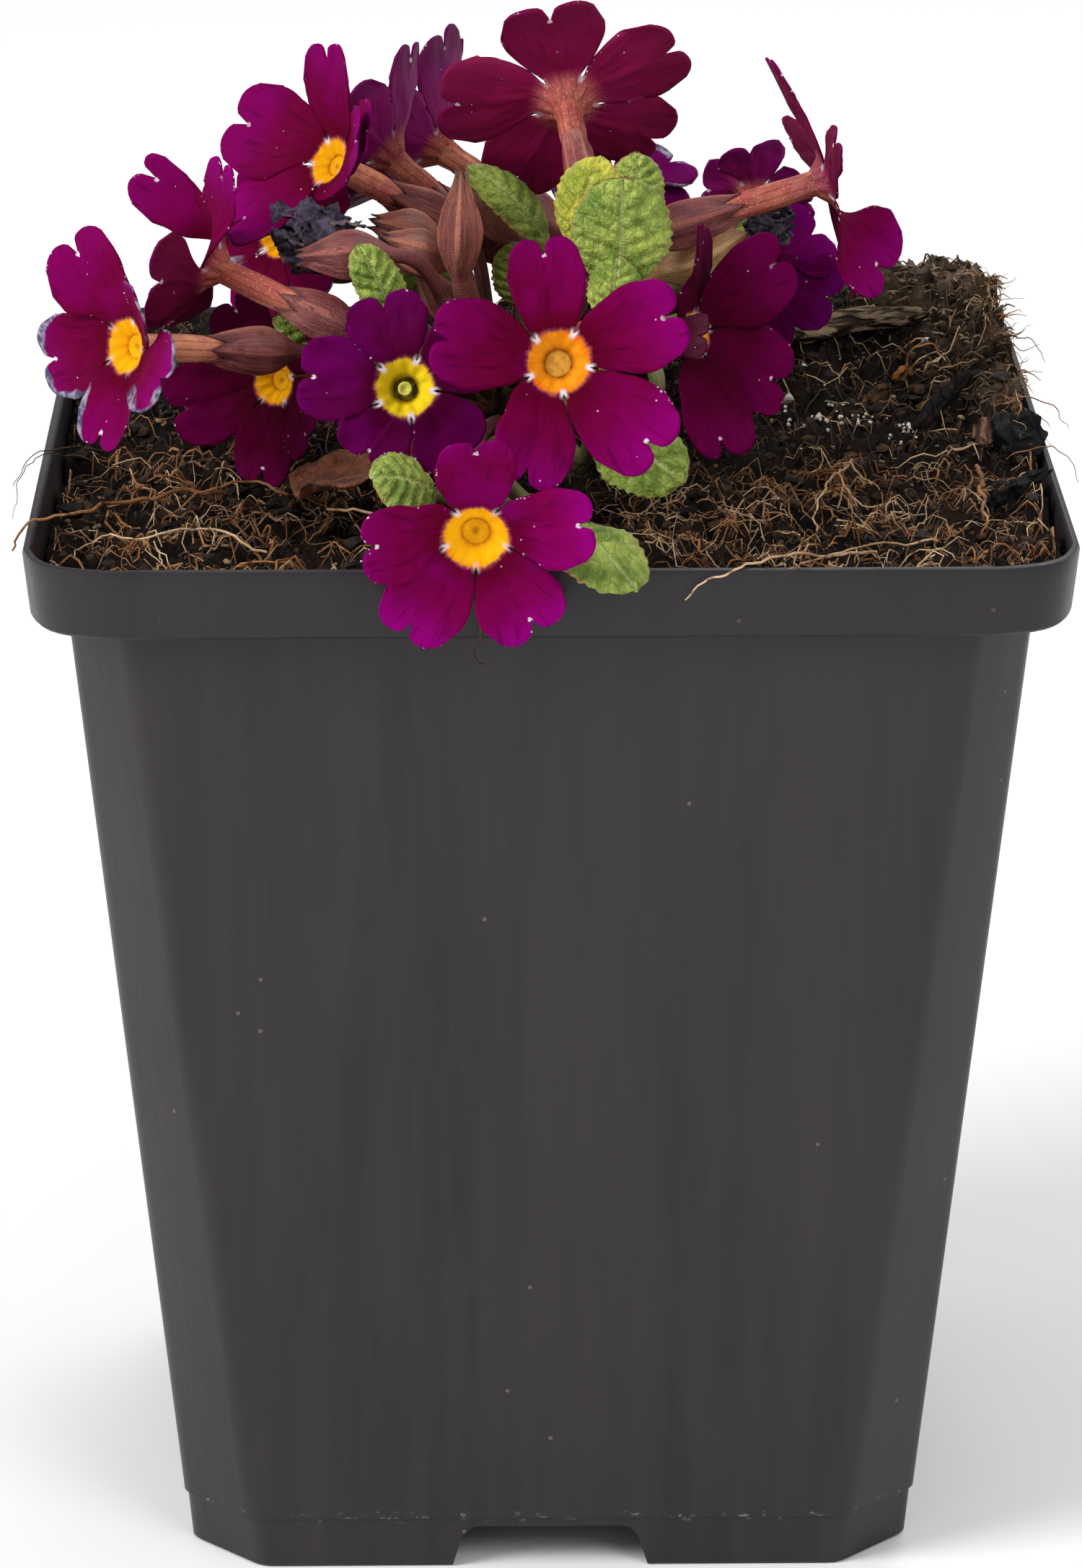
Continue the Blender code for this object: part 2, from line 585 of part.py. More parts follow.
def make_litter(soil, parent):
    sheet = bmesh.new()
    sheet.from_mesh(soil.data)
    ground = BVHTree.FromBMesh(sheet)
    sheet.free()
    looks = {
        "dead_leaf": material("dead leaf", (0.13, 0.045, 0.02), 0.8),
        "wood_chip": material("weathered wood", (0.20, 0.16, 0.11), 0.9),
        "dark_twig": material("twig", (0.035, 0.02, 0.018), 0.85),
        "bark_piece": material("bark", (0.02, 0.018, 0.018), 0.9),
    }
    for name, piece in LITTER.items():
        start, end = (Vector(point) for point in piece["ends"])
        steps = len(LITTER_OUTLINE) - 1
        points = [start.lerp(end, number / steps) for number in range(steps + 1)]
        sections = [blade_section(piece["half"] * width, piece["thick"]) for width in LITTER_OUTLINE]
        bm = skin(along_path(points, sections, Vector((0, 0, 1))))
        lie_on(bm, ground)
        add_part(name, bm, looks[name], parent)


def root_targets():
    targets = {}
    for name, flower in FLOWERS.items():
        face = Vector(flower["face"]).normalized()
        targets["flower_" + name] = Vector(flower["eye"]) - face * (flower["tube"] + CALYX_LENGTH)
    for name, calyx in SPENT.items():
        points = Vector(calyx["points"]).normalized()
        targets["spent_" + name] = Vector(calyx["mouth"]) - points * calyx["length"]
    for name, leaf in LEAVES.items():
        targets["leaf_" + name] = Vector(leaf["heel"])
    return targets


def stand_on_origin(holder):
    # Moves the whole object so that the middle of its bounding box's base is the origin
    bpy.context.view_layer.update()
    graph = bpy.context.evaluated_depsgraph_get()
    corners = []
    for part in PARTS:
        evaluated = part.evaluated_get(graph)
        corners += [evaluated.matrix_world @ Vector(corner) for corner in evaluated.bound_box]
    low = [min(corner[axis] for corner in corners) for axis in range(3)]
    high = [max(corner[axis] for corner in corners) for axis in range(3)]
    holder.location = (-(low[0] + high[0]) / 2, -(low[1] + high[1]) / 2, -low[2])


def main():
    clear_scene()
    holder = bpy.data.objects.new("primrose", None)
    bpy.context.collection.objects.link(holder)
    roots = spread(root_targets())
    make_pot(holder)
    soil = make_soil(holder)
    make_crown(holder)
    make_flowers(roots, holder)
    make_spent(roots, holder)
    make_leaves(roots, holder)
    make_litter(soil, holder)
    stand_on_origin(holder)


main()
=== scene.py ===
import math
import random

import bmesh
import bpy
from mathutils import Matrix, Vector, noise


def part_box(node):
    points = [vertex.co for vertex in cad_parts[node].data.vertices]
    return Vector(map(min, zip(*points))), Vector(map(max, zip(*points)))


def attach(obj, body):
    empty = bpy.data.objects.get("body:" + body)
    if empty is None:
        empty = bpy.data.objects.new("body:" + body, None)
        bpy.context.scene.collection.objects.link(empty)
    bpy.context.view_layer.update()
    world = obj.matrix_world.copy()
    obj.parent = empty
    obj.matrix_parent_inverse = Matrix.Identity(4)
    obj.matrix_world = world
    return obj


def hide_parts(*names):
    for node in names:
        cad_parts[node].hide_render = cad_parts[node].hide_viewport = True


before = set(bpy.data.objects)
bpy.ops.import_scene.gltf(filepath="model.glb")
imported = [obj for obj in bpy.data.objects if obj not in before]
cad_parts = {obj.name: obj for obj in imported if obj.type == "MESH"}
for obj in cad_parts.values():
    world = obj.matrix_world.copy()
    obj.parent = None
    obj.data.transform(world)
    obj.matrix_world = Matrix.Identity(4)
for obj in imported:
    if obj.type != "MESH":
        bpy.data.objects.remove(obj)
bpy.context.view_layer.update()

mm = 0.001
potLow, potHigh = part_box("pot")
# middle of the pot's base
potFoot = Vector(((potLow.x + potHigh.x) / 2, (potLow.y + potHigh.y) / 2, potLow.z))
crownLow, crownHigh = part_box("root_crown")


# small helpers, all in millimetres from the middle of the pot's base

def smooth(t):
    t = min(max(t, 0.0), 1.0)
    return t * t * (3 - 2 * t)


def mix(a, b, t):
    return a + (b - a) * t


def fromFrame(point):
    return (Vector(point) - potFoot) / mm


def turnTo(forward, up=(0, 0, 1)):  # columns are right, up and forward
    forward = Vector(forward).normalized()
    up = Vector(up)
    if abs(forward.dot(up.normalized())) > 0.98:
        up = Vector((0, 1, 0))
    up = (up - up.project(forward)).normalized()
    return Matrix((up.cross(forward), up, forward)).transposed()


def addGrid(bm, columns, rows, place, closed=False, slotIndex=0, layers=()):
    # a flat grid whose points are moved by place(across, along), both 0 to 1,
    # which also gives the layers' values

    made = bmesh.ops.create_grid(bm, x_segments=columns, y_segments=rows, size=0.5)["verts"]
    for vert in made:
        across, along = vert.co.x + 0.5, vert.co.y + 0.5
        found = place(across, along)
        vert.co = found[0]
        for layer, value in zip(layers, found[1:]):
            vert[layer] = value
    faces = {face for vert in made for face in vert.link_faces}
    for face in faces:
        face.material_index = slotIndex
        face.smooth = True
    if closed:
        bmesh.ops.remove_doubles(bm, verts=made, dist=0.002)
    return faces


def bezier(start, leave, arrive, end, steps):
    points = []
    for step in range(steps + 1):
        t = step / steps
        s = 1 - t
        points.append(start * s**3 + leave * 3 * s * s * t + arrive * 3 * s * t * t + end * t**3)
    return points


def followPath(points, side):
    # one turning frame for each point, carried along without spinning
    frames = []
    for number, point in enumerate(points):
        ahead = points[min(number + 1, len(points) - 1)] - points[max(number - 1, 0)]
        frames.append(turnTo(ahead, side))
        side = frames[-1].col[1]
    return frames


def addTube(bm, points, radiusAt, around=12, side=(0, 1, 0.2), slotIndex=0, layers=()):
    # a closed tube along the points: radiusAt(share, angle) gives the radius
    # and how far forward the point is pushed

    frames = followPath(points, Vector(side))
    rows = len(points) - 1

    def place(across, along):
        row = min(rows, max(0, round(along * rows)))
        angle = across * math.tau
        radius, push = radiusAt(row / rows, angle)
        turn = frames[row]
        spot = points[row] + turn @ Vector((math.cos(angle) * radius, math.sin(angle) * radius, push))
        return (spot, Vector((across, row / rows, radius)))

    return addGrid(bm, around, rows, place, closed=True, slotIndex=slotIndex, layers=layers)


def newObject(name, data):
    made = bpy.data.objects.new(name, data)
    bpy.context.scene.collection.objects.link(made)
    return made


def evaluatedMesh(source):
    bpy.context.view_layer.update()
    graph = bpy.context.evaluated_depsgraph_get()
    return bpy.data.meshes.new_from_object(source.evaluated_get(graph))


def toFrame(name, bm):
    # the finished mesh, in metres and in the frame's place
    bmesh.ops.scale(bm, vec=(mm, mm, mm), verts=bm.verts[:])
    bmesh.ops.translate(bm, vec=potFoot, verts=bm.verts[:])
    mesh = bpy.data.meshes.new(name)
    bm.to_mesh(mesh)
    bm.free()
    return mesh


def makePiece(name, bm, looks, nodes, thickness=0.0, backSlots=0):
    mesh = toFrame(name, bm)
    for look in looks:
        mesh.materials.append(look)
    piece = newObject(name, mesh)
    if thickness:
        skin = piece.modifiers.new("thickness", "SOLIDIFY")
        skin.thickness = thickness * mm
        skin.offset = -1
        skin.material_offset = backSlots
        skin.material_offset_rim = 0
    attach(piece, "root")
    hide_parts(*nodes)
    return piece


# shader helpers

def newLook(name, roughness=0.6, **sockets):
    look = bpy.data.materials.new(name)
    look.use_nodes = True
    shader = look.node_tree.nodes["Principled BSDF"]
    shader.inputs["Roughness"].default_value = roughness
    for socket, value in sockets.items():
        shader.inputs[socket.replace("_", " ")].default_value = value
    return look, look.node_tree


def addNode(tree, kind, **settings):
    node = tree.nodes.new(kind)
    for key, value in settings.items():
        if key in node.inputs:
            node.inputs[key].default_value = value
        else:
            setattr(node, key, value)
    return node


def mathNode(tree, operation, a, b=None, clamp=False):
    node = addNode(tree, "ShaderNodeMath", operation=operation, use_clamp=clamp)
    for index, value in enumerate((a, b)):
        if value is None:
            continue
        if isinstance(value, (int, float)):
            node.inputs[index].default_value = value
        else:
            tree.links.new(value, node.inputs[index])
    return node.outputs[0]


def times(tree, a, b, clamp=False):
    return mathNode(tree, "MULTIPLY", a, b, clamp)


def plus(tree, a, b):
    return mathNode(tree, "ADD", a, b)


def shifted(tree, value, chance, amount):
    # moves the value up or down by a noise that runs from 0 to 1
    return plus(tree, value, times(tree, mathNode(tree, "SUBTRACT", chance, 0.5), amount))


def mixColor(tree, share, a, b):
    node = addNode(tree, "ShaderNodeMix", data_type="RGBA", clamp_factor=True)
    for socket, value in ((node.inputs[0], share), (node.inputs[6], a), (node.inputs[7], b)):
        if isinstance(value, (int, float)):
            socket.default_value = value
        elif isinstance(value, tuple):
            socket.default_value = (*value[:3], 1)
        else:
            tree.links.new(value, socket)
    return node.outputs[2]


def spread(tree, value, low, high, lowTo=0.0, highTo=1.0):
    # value from low..high to lowTo..highTo, with soft ends
    node = addNode(tree, "ShaderNodeMapRange", interpolation_type="SMOOTHSTEP")
    tree.links.new(value, node.inputs[0])
    for index, number in zip((1, 2, 3, 4), (low, high, lowTo, highTo)):
        node.inputs[index].default_value = number
    return node.outputs[0]


def noiseOf(tree, vector, scale, detail=4.0, rough=0.55, distort=0.0):
    node = addNode(
        tree, "ShaderNodeTexNoise", Scale=scale, Detail=detail, Roughness=rough, Distortion=distort
    )
    tree.links.new(vector, node.inputs["Vector"])
    return node.outputs["Fac"]


def patches(tree, spot, scale, detail, *limits):
    return spread(tree, noiseOf(tree, spot, scale, detail), *limits)


def cellEdges(tree, vector, scale):
    node = addNode(tree, "ShaderNodeTexVoronoi", feature="DISTANCE_TO_EDGE", Scale=scale)
    tree.links.new(vector, node.inputs["Vector"])
    return node.outputs["Distance"]


def stretched(tree, vector, scale):
    node = addNode(tree, "ShaderNodeMapping", Scale=scale)
    tree.links.new(vector, node.inputs["Vector"])
    return node.outputs[0]


def darker(color, share):
    return tuple(share * part for part in color)


def placeCoords(tree):
    return addNode(tree, "ShaderNodeTexCoord").outputs["Object"]


def readMap(tree, name):
    node = addNode(tree, "ShaderNodeAttribute", attribute_name=name)
    parts = addNode(tree, "ShaderNodeSeparateXYZ")
    tree.links.new(node.outputs["Vector"], parts.inputs[0])
    return node.outputs["Vector"], parts.outputs


def heightOf(tree, spot):
    parts = addNode(tree, "ShaderNodeSeparateXYZ")
    tree.links.new(spot, parts.inputs[0])
    return parts.outputs[2]


def joined(tree, *values):
    node = addNode(tree, "ShaderNodeCombineXYZ")
    for value, socket in zip(values, node.inputs):
        tree.links.new(value, socket)
    return node.outputs[0]


def finishLook(look, tone, height, strength, distance, rough=None):
    # what feeds the shader: colour, bump and, where it changes over the surface, roughness
    tree = look.node_tree
    shader = tree.nodes["Principled BSDF"]
    node = addNode(tree, "ShaderNodeBump", Strength=strength, Distance=distance)
    tree.links.new(height, node.inputs["Height"])
    tree.links.new(node.outputs[0], shader.inputs["Normal"])
    tree.links.new(tone, shader.inputs["Base Color"])
    if rough is not None:
        tree.links.new(rough, shader.inputs["Roughness"])
    return look


def newGroup(name, inputs, outputs):
    group = bpy.data.node_groups.new(name, "ShaderNodeTree")
    for socket, kind, value in inputs:
        made = group.interface.new_socket(socket, in_out="INPUT", socket_type=kind)
        if value is not None:
            made.default_value = value
    for socket, kind in outputs:
        group.interface.new_socket(socket, in_out="OUTPUT", socket_type=kind)
    return group, group.nodes.new("NodeGroupInput"), group.nodes.new("NodeGroupOutput")


def useGroup(tree, group, **values):
    node = tree.nodes.new("ShaderNodeGroup")
    node.node_tree = group
    for key, value in values.items():
        socket = node.inputs[key]
        if isinstance(value, (int, float)):
            socket.default_value = value
        elif isinstance(value, tuple):
            socket.default_value = (*value, 1)
        else:
            tree.links.new(value, socket)
    return node


# fine pale grains and short hairs, as on calyxes and stalks
grainGroup, grainIn, grainOut = newGroup(
    "plantGrain",
    [
        ("Vector", "NodeSocketVector", None), ("Scale", "NodeSocketFloat", 2600.0),
        ("Amount", "NodeSocketFloat", 0.5)
    ],
    [("Mask", "NodeSocketFloat"), ("Height", "NodeSocketFloat")],
)
grainCells = addNode(grainGroup, "ShaderNodeTexVoronoi", feature="F1")
grainGroup.links.new(grainIn.outputs["Vector"], grainCells.inputs["Vector"])
grainGroup.links.new(grainIn.outputs["Scale"], grainCells.inputs["Scale"])
grainDots = spread(grainGroup, grainCells.outputs["Distance"], 0.34, 0.12)
grainMask = times(grainGroup, grainDots, grainIn.outputs["Amount"], clamp=True)
grainGroup.links.new(grainMask, grainOut.inputs["Mask"])
grainGroup.links.new(grainDots, grainOut.inputs["Height"])

# scattered specks of dust and grit, with a chance for each cell
speckGroup, speckIn, speckOut = newGroup(
    "strayspecks",
    [
        ("Vector", "NodeSocketVector", None), ("Scale", "NodeSocketFloat", 300.0),
        ("Size", "NodeSocketFloat", 0.08), ("Share", "NodeSocketFloat", 0.1)
    ],
    [("Mask", "NodeSocketFloat")],
)
speckCells = addNode(speckGroup, "ShaderNodeTexVoronoi", feature="F1")
speckGroup.links.new(speckIn.outputs["Vector"], speckCells.inputs["Vector"])
speckGroup.links.new(speckIn.outputs["Scale"], speckCells.inputs["Scale"])
speckDot = mathNode(speckGroup, "LESS_THAN", speckCells.outputs["Distance"], speckIn.outputs["Size"])
speckRandom = addNode(speckGroup, "ShaderNodeSeparateColor")
speckGroup.links.new(speckCells.outputs["Color"], speckRandom.inputs[0])
speckChosen = mathNode(speckGroup, "LESS_THAN", speckRandom.outputs[0], speckIn.outputs["Share"])
speckGroup.links.new(times(speckGroup, speckDot, speckChosen), speckOut.inputs["Mask"])

# pot

pot = {
    "height": 119.3, "rimHalf": 55.0, "rimFootHalf": 54.27, "rimFoot": 111.7, "rimLeg": 9.1, "bulge": 0.293,
    "topHalf": 50.55, "footHalf": 40.62, "foot": 6.4, "topLeg": 6.34, "footLeg": 7.79, "skirtTop": 40.3,
    "skirtHalf": 39.74, "wall": 1.1, "floor": 5.2, "edgeRound": 1.3, "notchTop": 18.7, "notchFoot": 21.6,
    "notchHeight": 5.0, "drain": 3.5, "drainApart": 22.0,
}


def potOutline(half, leg, height, rounded):
    # each corner has ten points: an arc on the rim, two softened edges on the body
    points = []
    for corner in range(4):
        turn = Matrix.Rotation(corner * math.pi / 2, 2)
        first, second = Vector((half, half - leg)), Vector((half - leg, half))
        for step in range(10):
            if rounded:
                share = step / 9
                out = pot["bulge"] * leg * math.sin(math.pi * share) / math.sqrt(2)
                flat = first.lerp(second, share) + Vector((out, out))
            else:
                near, far = (first, second) if step < 5 else (second, first)
                share = (step % 5) / 4
                reach = pot["edgeRound"]
                along = (Vector((0, -1)) if step < 5 else Vector((-1, 0))) * reach
                inward = (far - near).normalized() * reach
                a, b = (near + along, near + inward) if step < 5 else (near + inward, near + along)
                flat = a * (1 - share) ** 2 + near * 2 * share * (1 - share) + b * share**2
            flat = turn @ flat
            points.append(Vector((flat.x, flat.y, height)))
    return points


def potBody(height, inset=0.0):
    share = (height - pot["foot"]) / (pot["rimFoot"] - pot["foot"])
    half = mix(pot["footHalf"], pot["topHalf"], share)
    leg = mix(pot["footLeg"], pot["topLeg"], height / pot["rimFoot"])
    return potOutline(half - inset, leg - 0.4 * inset, height, False)


def buildPot(looks):
    wall, foot, rimFoot, top = pot["wall"], pot["foot"], pot["rimFoot"], pot["height"]

    def rim(height, inset):
        share = (height - rimFoot) / (top - rimFoot)
        return potOutline(
            mix(pot["rimFootHalf"], pot["rimHalf"], share) - inset, pot["rimLeg"] - inset, height, True
        )

    def skirt(height, inset):
        half = mix(pot["skirtHalf"], pot["skirtTop"], height / foot)
        return potOutline(half - inset, pot["footLeg"] - 0.4 * inset, height, False)

    rings = [
        skirt(pot["floor"], wall), skirt(0.3, wall), skirt(0, wall - 0.2), skirt(0, 0.3), skirt(0.3, 0)
    ]
    rings += [skirt(foot - 0.35, 0), potBody(foot - 0.2, -0.02), potBody(foot + 0.1)]
    rings += [potBody(mix(foot + 0.3, rimFoot - 1.2, step / 10)) for step in range(11)]
    rings += [
        potBody(rimFoot - 0.4, -0.05), potBody(rimFoot, -0.5), rim(rimFoot, 0.9), rim(rimFoot + 0.05, 0.3)
    ]
    rings += [rim(rimFoot + 0.35, 0.02), rim(rimFoot + 2.5, 0), rim(top - 2.5, 0), rim(top - 0.55, 0)]
    rings += [
        rim(top - 0.15, 0.14), rim(top, 0.42), rim(top, 0.75), rim(top - 0.2, 1.0), rim(top - 0.6, wall)
    ]
    rings += [
        rim(rimFoot + wall + 0.5, wall), rim(rimFoot + wall, wall + 0.5),
        potBody(rimFoot + wall - 0.3, wall)
    ]
    rings += [potBody(rimFoot - 2, wall), potBody(foot, wall)]
    count = len(rings[0])
    bm = bmesh.new()

    def place(across, along):
        return (rings[round(along * (len(rings) - 1))][round(across * count) % count],)

    addGrid(bm, count, len(rings) - 1, place, closed=True)
    bmesh.ops.holes_fill(bm, edges=[edge for edge in bm.edges if edge.is_boundary], sides=0)
    bmesh.ops.recalc_face_normals(bm, faces=bm.faces[:])
    for face in bm.faces:
        face.smooth = True
    piece = makePiece("potShell", bm, looks, ["pot"])
    cutters = []
    for quarter in (0, 1):  # two crossing channels under the floor
        cut = bmesh.new()
        bmesh.ops.create_cube(cut, size=1)
        bmesh.ops.scale(cut, vec=(130, 1, 1), verts=cut.verts[:])
        for vert in cut.verts:
            high = vert.co.z > 0
            vert.co.y *= pot["notchTop"] if high else pot["notchFoot"] + 0.6
            vert.co.z = pot["notchHeight"] if high else -1.0
        tops = [
            e for e in cut.edges
            if all(v.co.z > 1 for v in e.verts) and abs(e.verts[0].co.y - e.verts[1].co.y) < 1
        ]
        bmesh.ops.bevel(cut, geom=tops, offset=1.6, segments=4, profile=0.5, affect="EDGES", material=-1)
        spin = Matrix.Rotation(quarter * math.pi / 2, 3, "Z")
        bmesh.ops.rotate(cut, cent=(0, 0, 0), matrix=spin, verts=cut.verts[:])
        cutters.append(cut)
    apart = pot["drainApart"]
    for x, y in ((0, 0), (apart, apart), (-apart, apart), (apart, -apart), (-apart, -apart)):
        cut = bmesh.new()
        at = Matrix.Translation((x, y, foot))
        bmesh.ops.create_cone(
            cut, cap_ends=True, segments=28, radius1=pot["drain"], radius2=pot["drain"], depth=6, matrix=at
        )
        cutters.append(cut)
    tools = []
    for cut in cutters:
        tools.append(newObject("cutter", toFrame("cutter", cut)))
        away = piece.modifiers.new("cut", "BOOLEAN")
        away.operation = "DIFFERENCE"
        away.solver = "EXACT"
        away.object = tools[-1]
    whole = evaluatedMesh(piece)
    piece.modifiers.clear()
    piece.data = whole
    piece.data.set_sharp_from_angle(angle=math.radians(35))
    for tool in tools:
        bpy.data.objects.remove(tool, do_unlink=True)
    return piece


def plasticLook():
    look, tree = newLook("blackPlastic", roughness=0.42, Specular_IOR_Level=0.36)
    spot = placeCoords(tree)
    streaks = noiseOf(tree, stretched(tree, spot, (260, 260, 5)), 1.0, detail=5, rough=0.6)
    broad = noiseOf(tree, stretched(tree, spot, (45, 45, 3)), 1.0, detail=3)
    clouds = noiseOf(tree, spot, 18, detail=5)
    tone = mixColor(
        tree, spread(tree, streaks, 0.3, 0.7), (0.0110, 0.0086, 0.0113), (0.0215, 0.0174, 0.0219)
    )
    tone = mixColor(tree, spread(tree, broad, 0.35, 0.65, 0.0, 0.5), tone, (0.026, 0.021, 0.026))
    dust = useGroup(tree, speckGroup, Vector=spot, Scale=420.0, Size=0.10, Share=0.05)
    tone = mixColor(tree, times(tree, dust.outputs[0], 0.5), tone, (0.20, 0.15, 0.11))
    # the rim above about 110 mm is painted darker: painted shade on the upright rim, same plastic as the
    # body
    high = heightOf(tree, spot)
    tone = mixColor(tree, spread(tree, high, 0.1095, 0.1120, 0.0, 0.5), tone, (0.0095, 0.0076, 0.0095))
    scuffBand = times(tree, spread(tree, high, 0.0052, 0.0064), spread(tree, high, 0.0072, 0.0064))
    scratches = noiseOf(tree, stretched(tree, spot, (500, 500, 900)), 1.0, 6, 0.7)
    scuffs = times(tree, scuffBand, spread(tree, scratches, 0.56, 0.66))
    tone = mixColor(tree, times(tree, scuffs, 0.7), tone, (0.24, 0.23, 0.23))
    rough = spread(
        tree, plus(tree, times(tree, clouds, 0.5), times(tree, streaks, 0.5)), 0.3, 0.7, 0.36, 0.5
    )
    height = plus(tree, streaks, times(tree, noiseOf(tree, spot, 2400, detail=2), 0.25))
    return finishLook(look, tone, height, 0.3, 0.0003, rough)


buildPot([plasticLook()])
print("pot done")

# soil

soil = {
    "level": 117.4, "leftDrop": 2.6, "mound": (35, 50), "moundHeight": 6.6, "moundSpread": (20.0, 13.0),
    "ridge": 7.0, "backRise": 2.0, "half": 53.4, "cells": 232
}


def soilShape(x, y):
    left = smooth((-6 - x) / 22) * smooth((24 - y) / 30)
    away = (
        (x - soil["mound"][0]) / soil["moundSpread"][0]
    ) ** 2 + ((y - soil["mound"][1]) / soil["moundSpread"][1]) ** 2
    alongRidge = smooth((y + 38) / 75) * (1 - 0.6 * smooth((y - 28) / 22))
    ridge = soil["ridge"] * math.exp(-(((x - 54) / 6.5) ** 2)) * alongRidge
    ridge += soil["backRise"] * smooth((y - 30) / 16)
    return soil["level"] - soil["leftDrop"] * left + soil["moundHeight"] * math.exp(-away) + ridge


def soilTop(x, y):
    level = soilShape(x, y)
    level += 1.4 * noise.noise(Vector((x, y, 3)) / 9)
    level += 2.4 * noise.noise(Vector((x, y, 8)) / 3.6)
    level += 1.9 * abs(noise.noise(Vector((x, y, 18)) / 1.8)) - 0.5
    level += 0.8 * noise.noise(Vector((x, y, 28)) / 0.8)
    high = smooth((level - 120) / 3)
    level += high * (2.2 * abs(noise.noise(Vector((x, y, 40)) / 3.2)) - 0.7)
    near = math.hypot(x + 4, y - 8)
    return min(level, mix(soil["level"] - 0.6, 200, smooth((near - 7) / 6) * 0.5))


def insideRim(x, y, half=53.1, leg=7.7):
    # pulls a point back inside the rounded square
    ax, ay = abs(x), abs(y)
    ax, ay = min(ax, half), min(ay, half)
    cx, cy = ax - (half - leg), ay - (half - leg)
    if cx > 0 and cy > 0:
        far = math.hypot(cx, cy)
        if far > leg:
            ax, ay = half - leg + cx * leg / far, half - leg + cy * leg / far
    return math.copysign(ax, x), math.copysign(ay, y)


def buildSoil(looks):
    bm = bmesh.new()
    half = soil["half"]

    def place(across, along):
        x, y = insideRim(mix(-half, half, across), mix(-half, half, along))
        return (Vector((x, y, soilTop(x, y))),)

    addGrid(bm, soil["cells"], soil["cells"], place)
    rim = [edge for edge in bm.edges if edge.is_boundary]
    for height, half in ((113.4, 52.6), (112.6, 49.0), (7.0, 39.0)):
        made = bmesh.ops.extrude_edge_only(bm, edges=rim)["geom"]
        for item in made:
            if isinstance(item, bmesh.types.BMVert):
                item.co.x, item.co.y = insideRim(item.co.x * half / 53, item.co.y * half / 53, half, 7)
                item.co.z = height
        rim = [edge for edge in made if isinstance(edge, bmesh.types.BMEdge)]
    bmesh.ops.holes_fill(bm, edges=rim, sides=0)
    bmesh.ops.recalc_face_normals(bm, faces=bm.faces[:])
    return makePiece("peat", bm, looks, ["soil"])


def peatLook():
    look, tree = newLook("peatLook", roughness=0.95, Specular_IOR_Level=0.2)
    spot = placeCoords(tree)
    lumps = noiseOf(tree, spot, 260, detail=8, rough=0.65)
    fibres = noiseOf(tree, stretched(tree, spot, (900, 260, 900)), 1.0, detail=6, rough=0.7, distort=1.5)
    cross = noiseOf(tree, stretched(tree, spot, (240, 950, 900)), 1.0, detail=6, rough=0.7, distort=1.5)
    tone = mixColor(tree, spread(tree, lumps, 0.35, 0.62), (0.003, 0.002, 0.0015), (0.024, 0.012, 0.006))
    tone = mixColor(tree, spread(tree, fibres, 0.60, 0.72), tone, (0.12, 0.062, 0.026))
    tone = mixColor(tree, spread(tree, cross, 0.62, 0.74), tone, (0.15, 0.085, 0.038))
    grit = useGroup(tree, speckGroup, Vector=spot, Scale=700.0, Size=0.16, Share=0.10)
    tone = mixColor(tree, times(tree, grit.outputs[0], 0.7), tone, (0.34, 0.24, 0.15))
    tufts = spread(tree, noiseOf(tree, spot, 300, 6, 0.65), 0.38, 0.62)
    mossy = times(tree, spread(tree, heightOf(tree, spot), 0.1195, 0.1230), tufts)
    felt = mixColor(
        tree, patches(tree, spot, 130, 4, 0.42, 0.62), (0.095, 0.062, 0.028), (0.28, 0.20, 0.14)
    )
    tone = mixColor(tree, times(tree, mossy, 0.85), tone, felt)
    return finishLook(look, tone, plus(tree, lumps, plus(tree, fibres, cross)), 1.0, 0.0011)


buildSoil([peatLook()])
print("soil done")


# loose crumbs, bark bits and white grains on the soil

def crumbLook(name, dark, pale):
    look, tree = newLook(name, roughness=0.9, Specular_IOR_Level=0.25)
    spot = placeCoords(tree)
    tone = mixColor(tree, spread(tree, noiseOf(tree, spot, 500, 6, 0.65), 0.35, 0.65), dark, pale)
    tone = mixColor(tree, patches(tree, spot, 90, 2, 0.42, 0.6, 0.0, 0.6), tone, dark)
    return finishLook(look, tone, noiseOf(tree, spot, 1500, 4), 0.7, 0.0003)


def scatter(name, seed, count, size, look, share=1.0, squash=0.6):
    rng = random.Random(seed)
    bm = bmesh.new()
    for _ in range(count):
        x, y = rng.uniform(-52, 52), rng.uniform(-52, 52)
        x, y = insideRim(x, y, 51.8, 7)
        if share < 1 and rng.random() >= share:
            continue
        radius = rng.uniform(*size)
        made = bmesh.ops.create_icosphere(bm, subdivisions=1, radius=radius)["verts"]
        for vert in made:
            vert.co *= rng.uniform(0.6, 1.15)
        bmesh.ops.scale(bm, vec=(1, rng.uniform(0.45, 1), squash), verts=made)
        turn = Matrix.Rotation(rng.uniform(0, math.tau), 3, "Z")
        turn = turn @ Matrix.Rotation(rng.uniform(-0.6, 0.6), 3, "X")
        bmesh.ops.rotate(bm, cent=(0, 0, 0), matrix=turn, verts=made)
        bmesh.ops.translate(bm, vec=(x, y, soilTop(x, y) + radius * 0.2), verts=made)
    return makePiece(name, bm, [look], [])


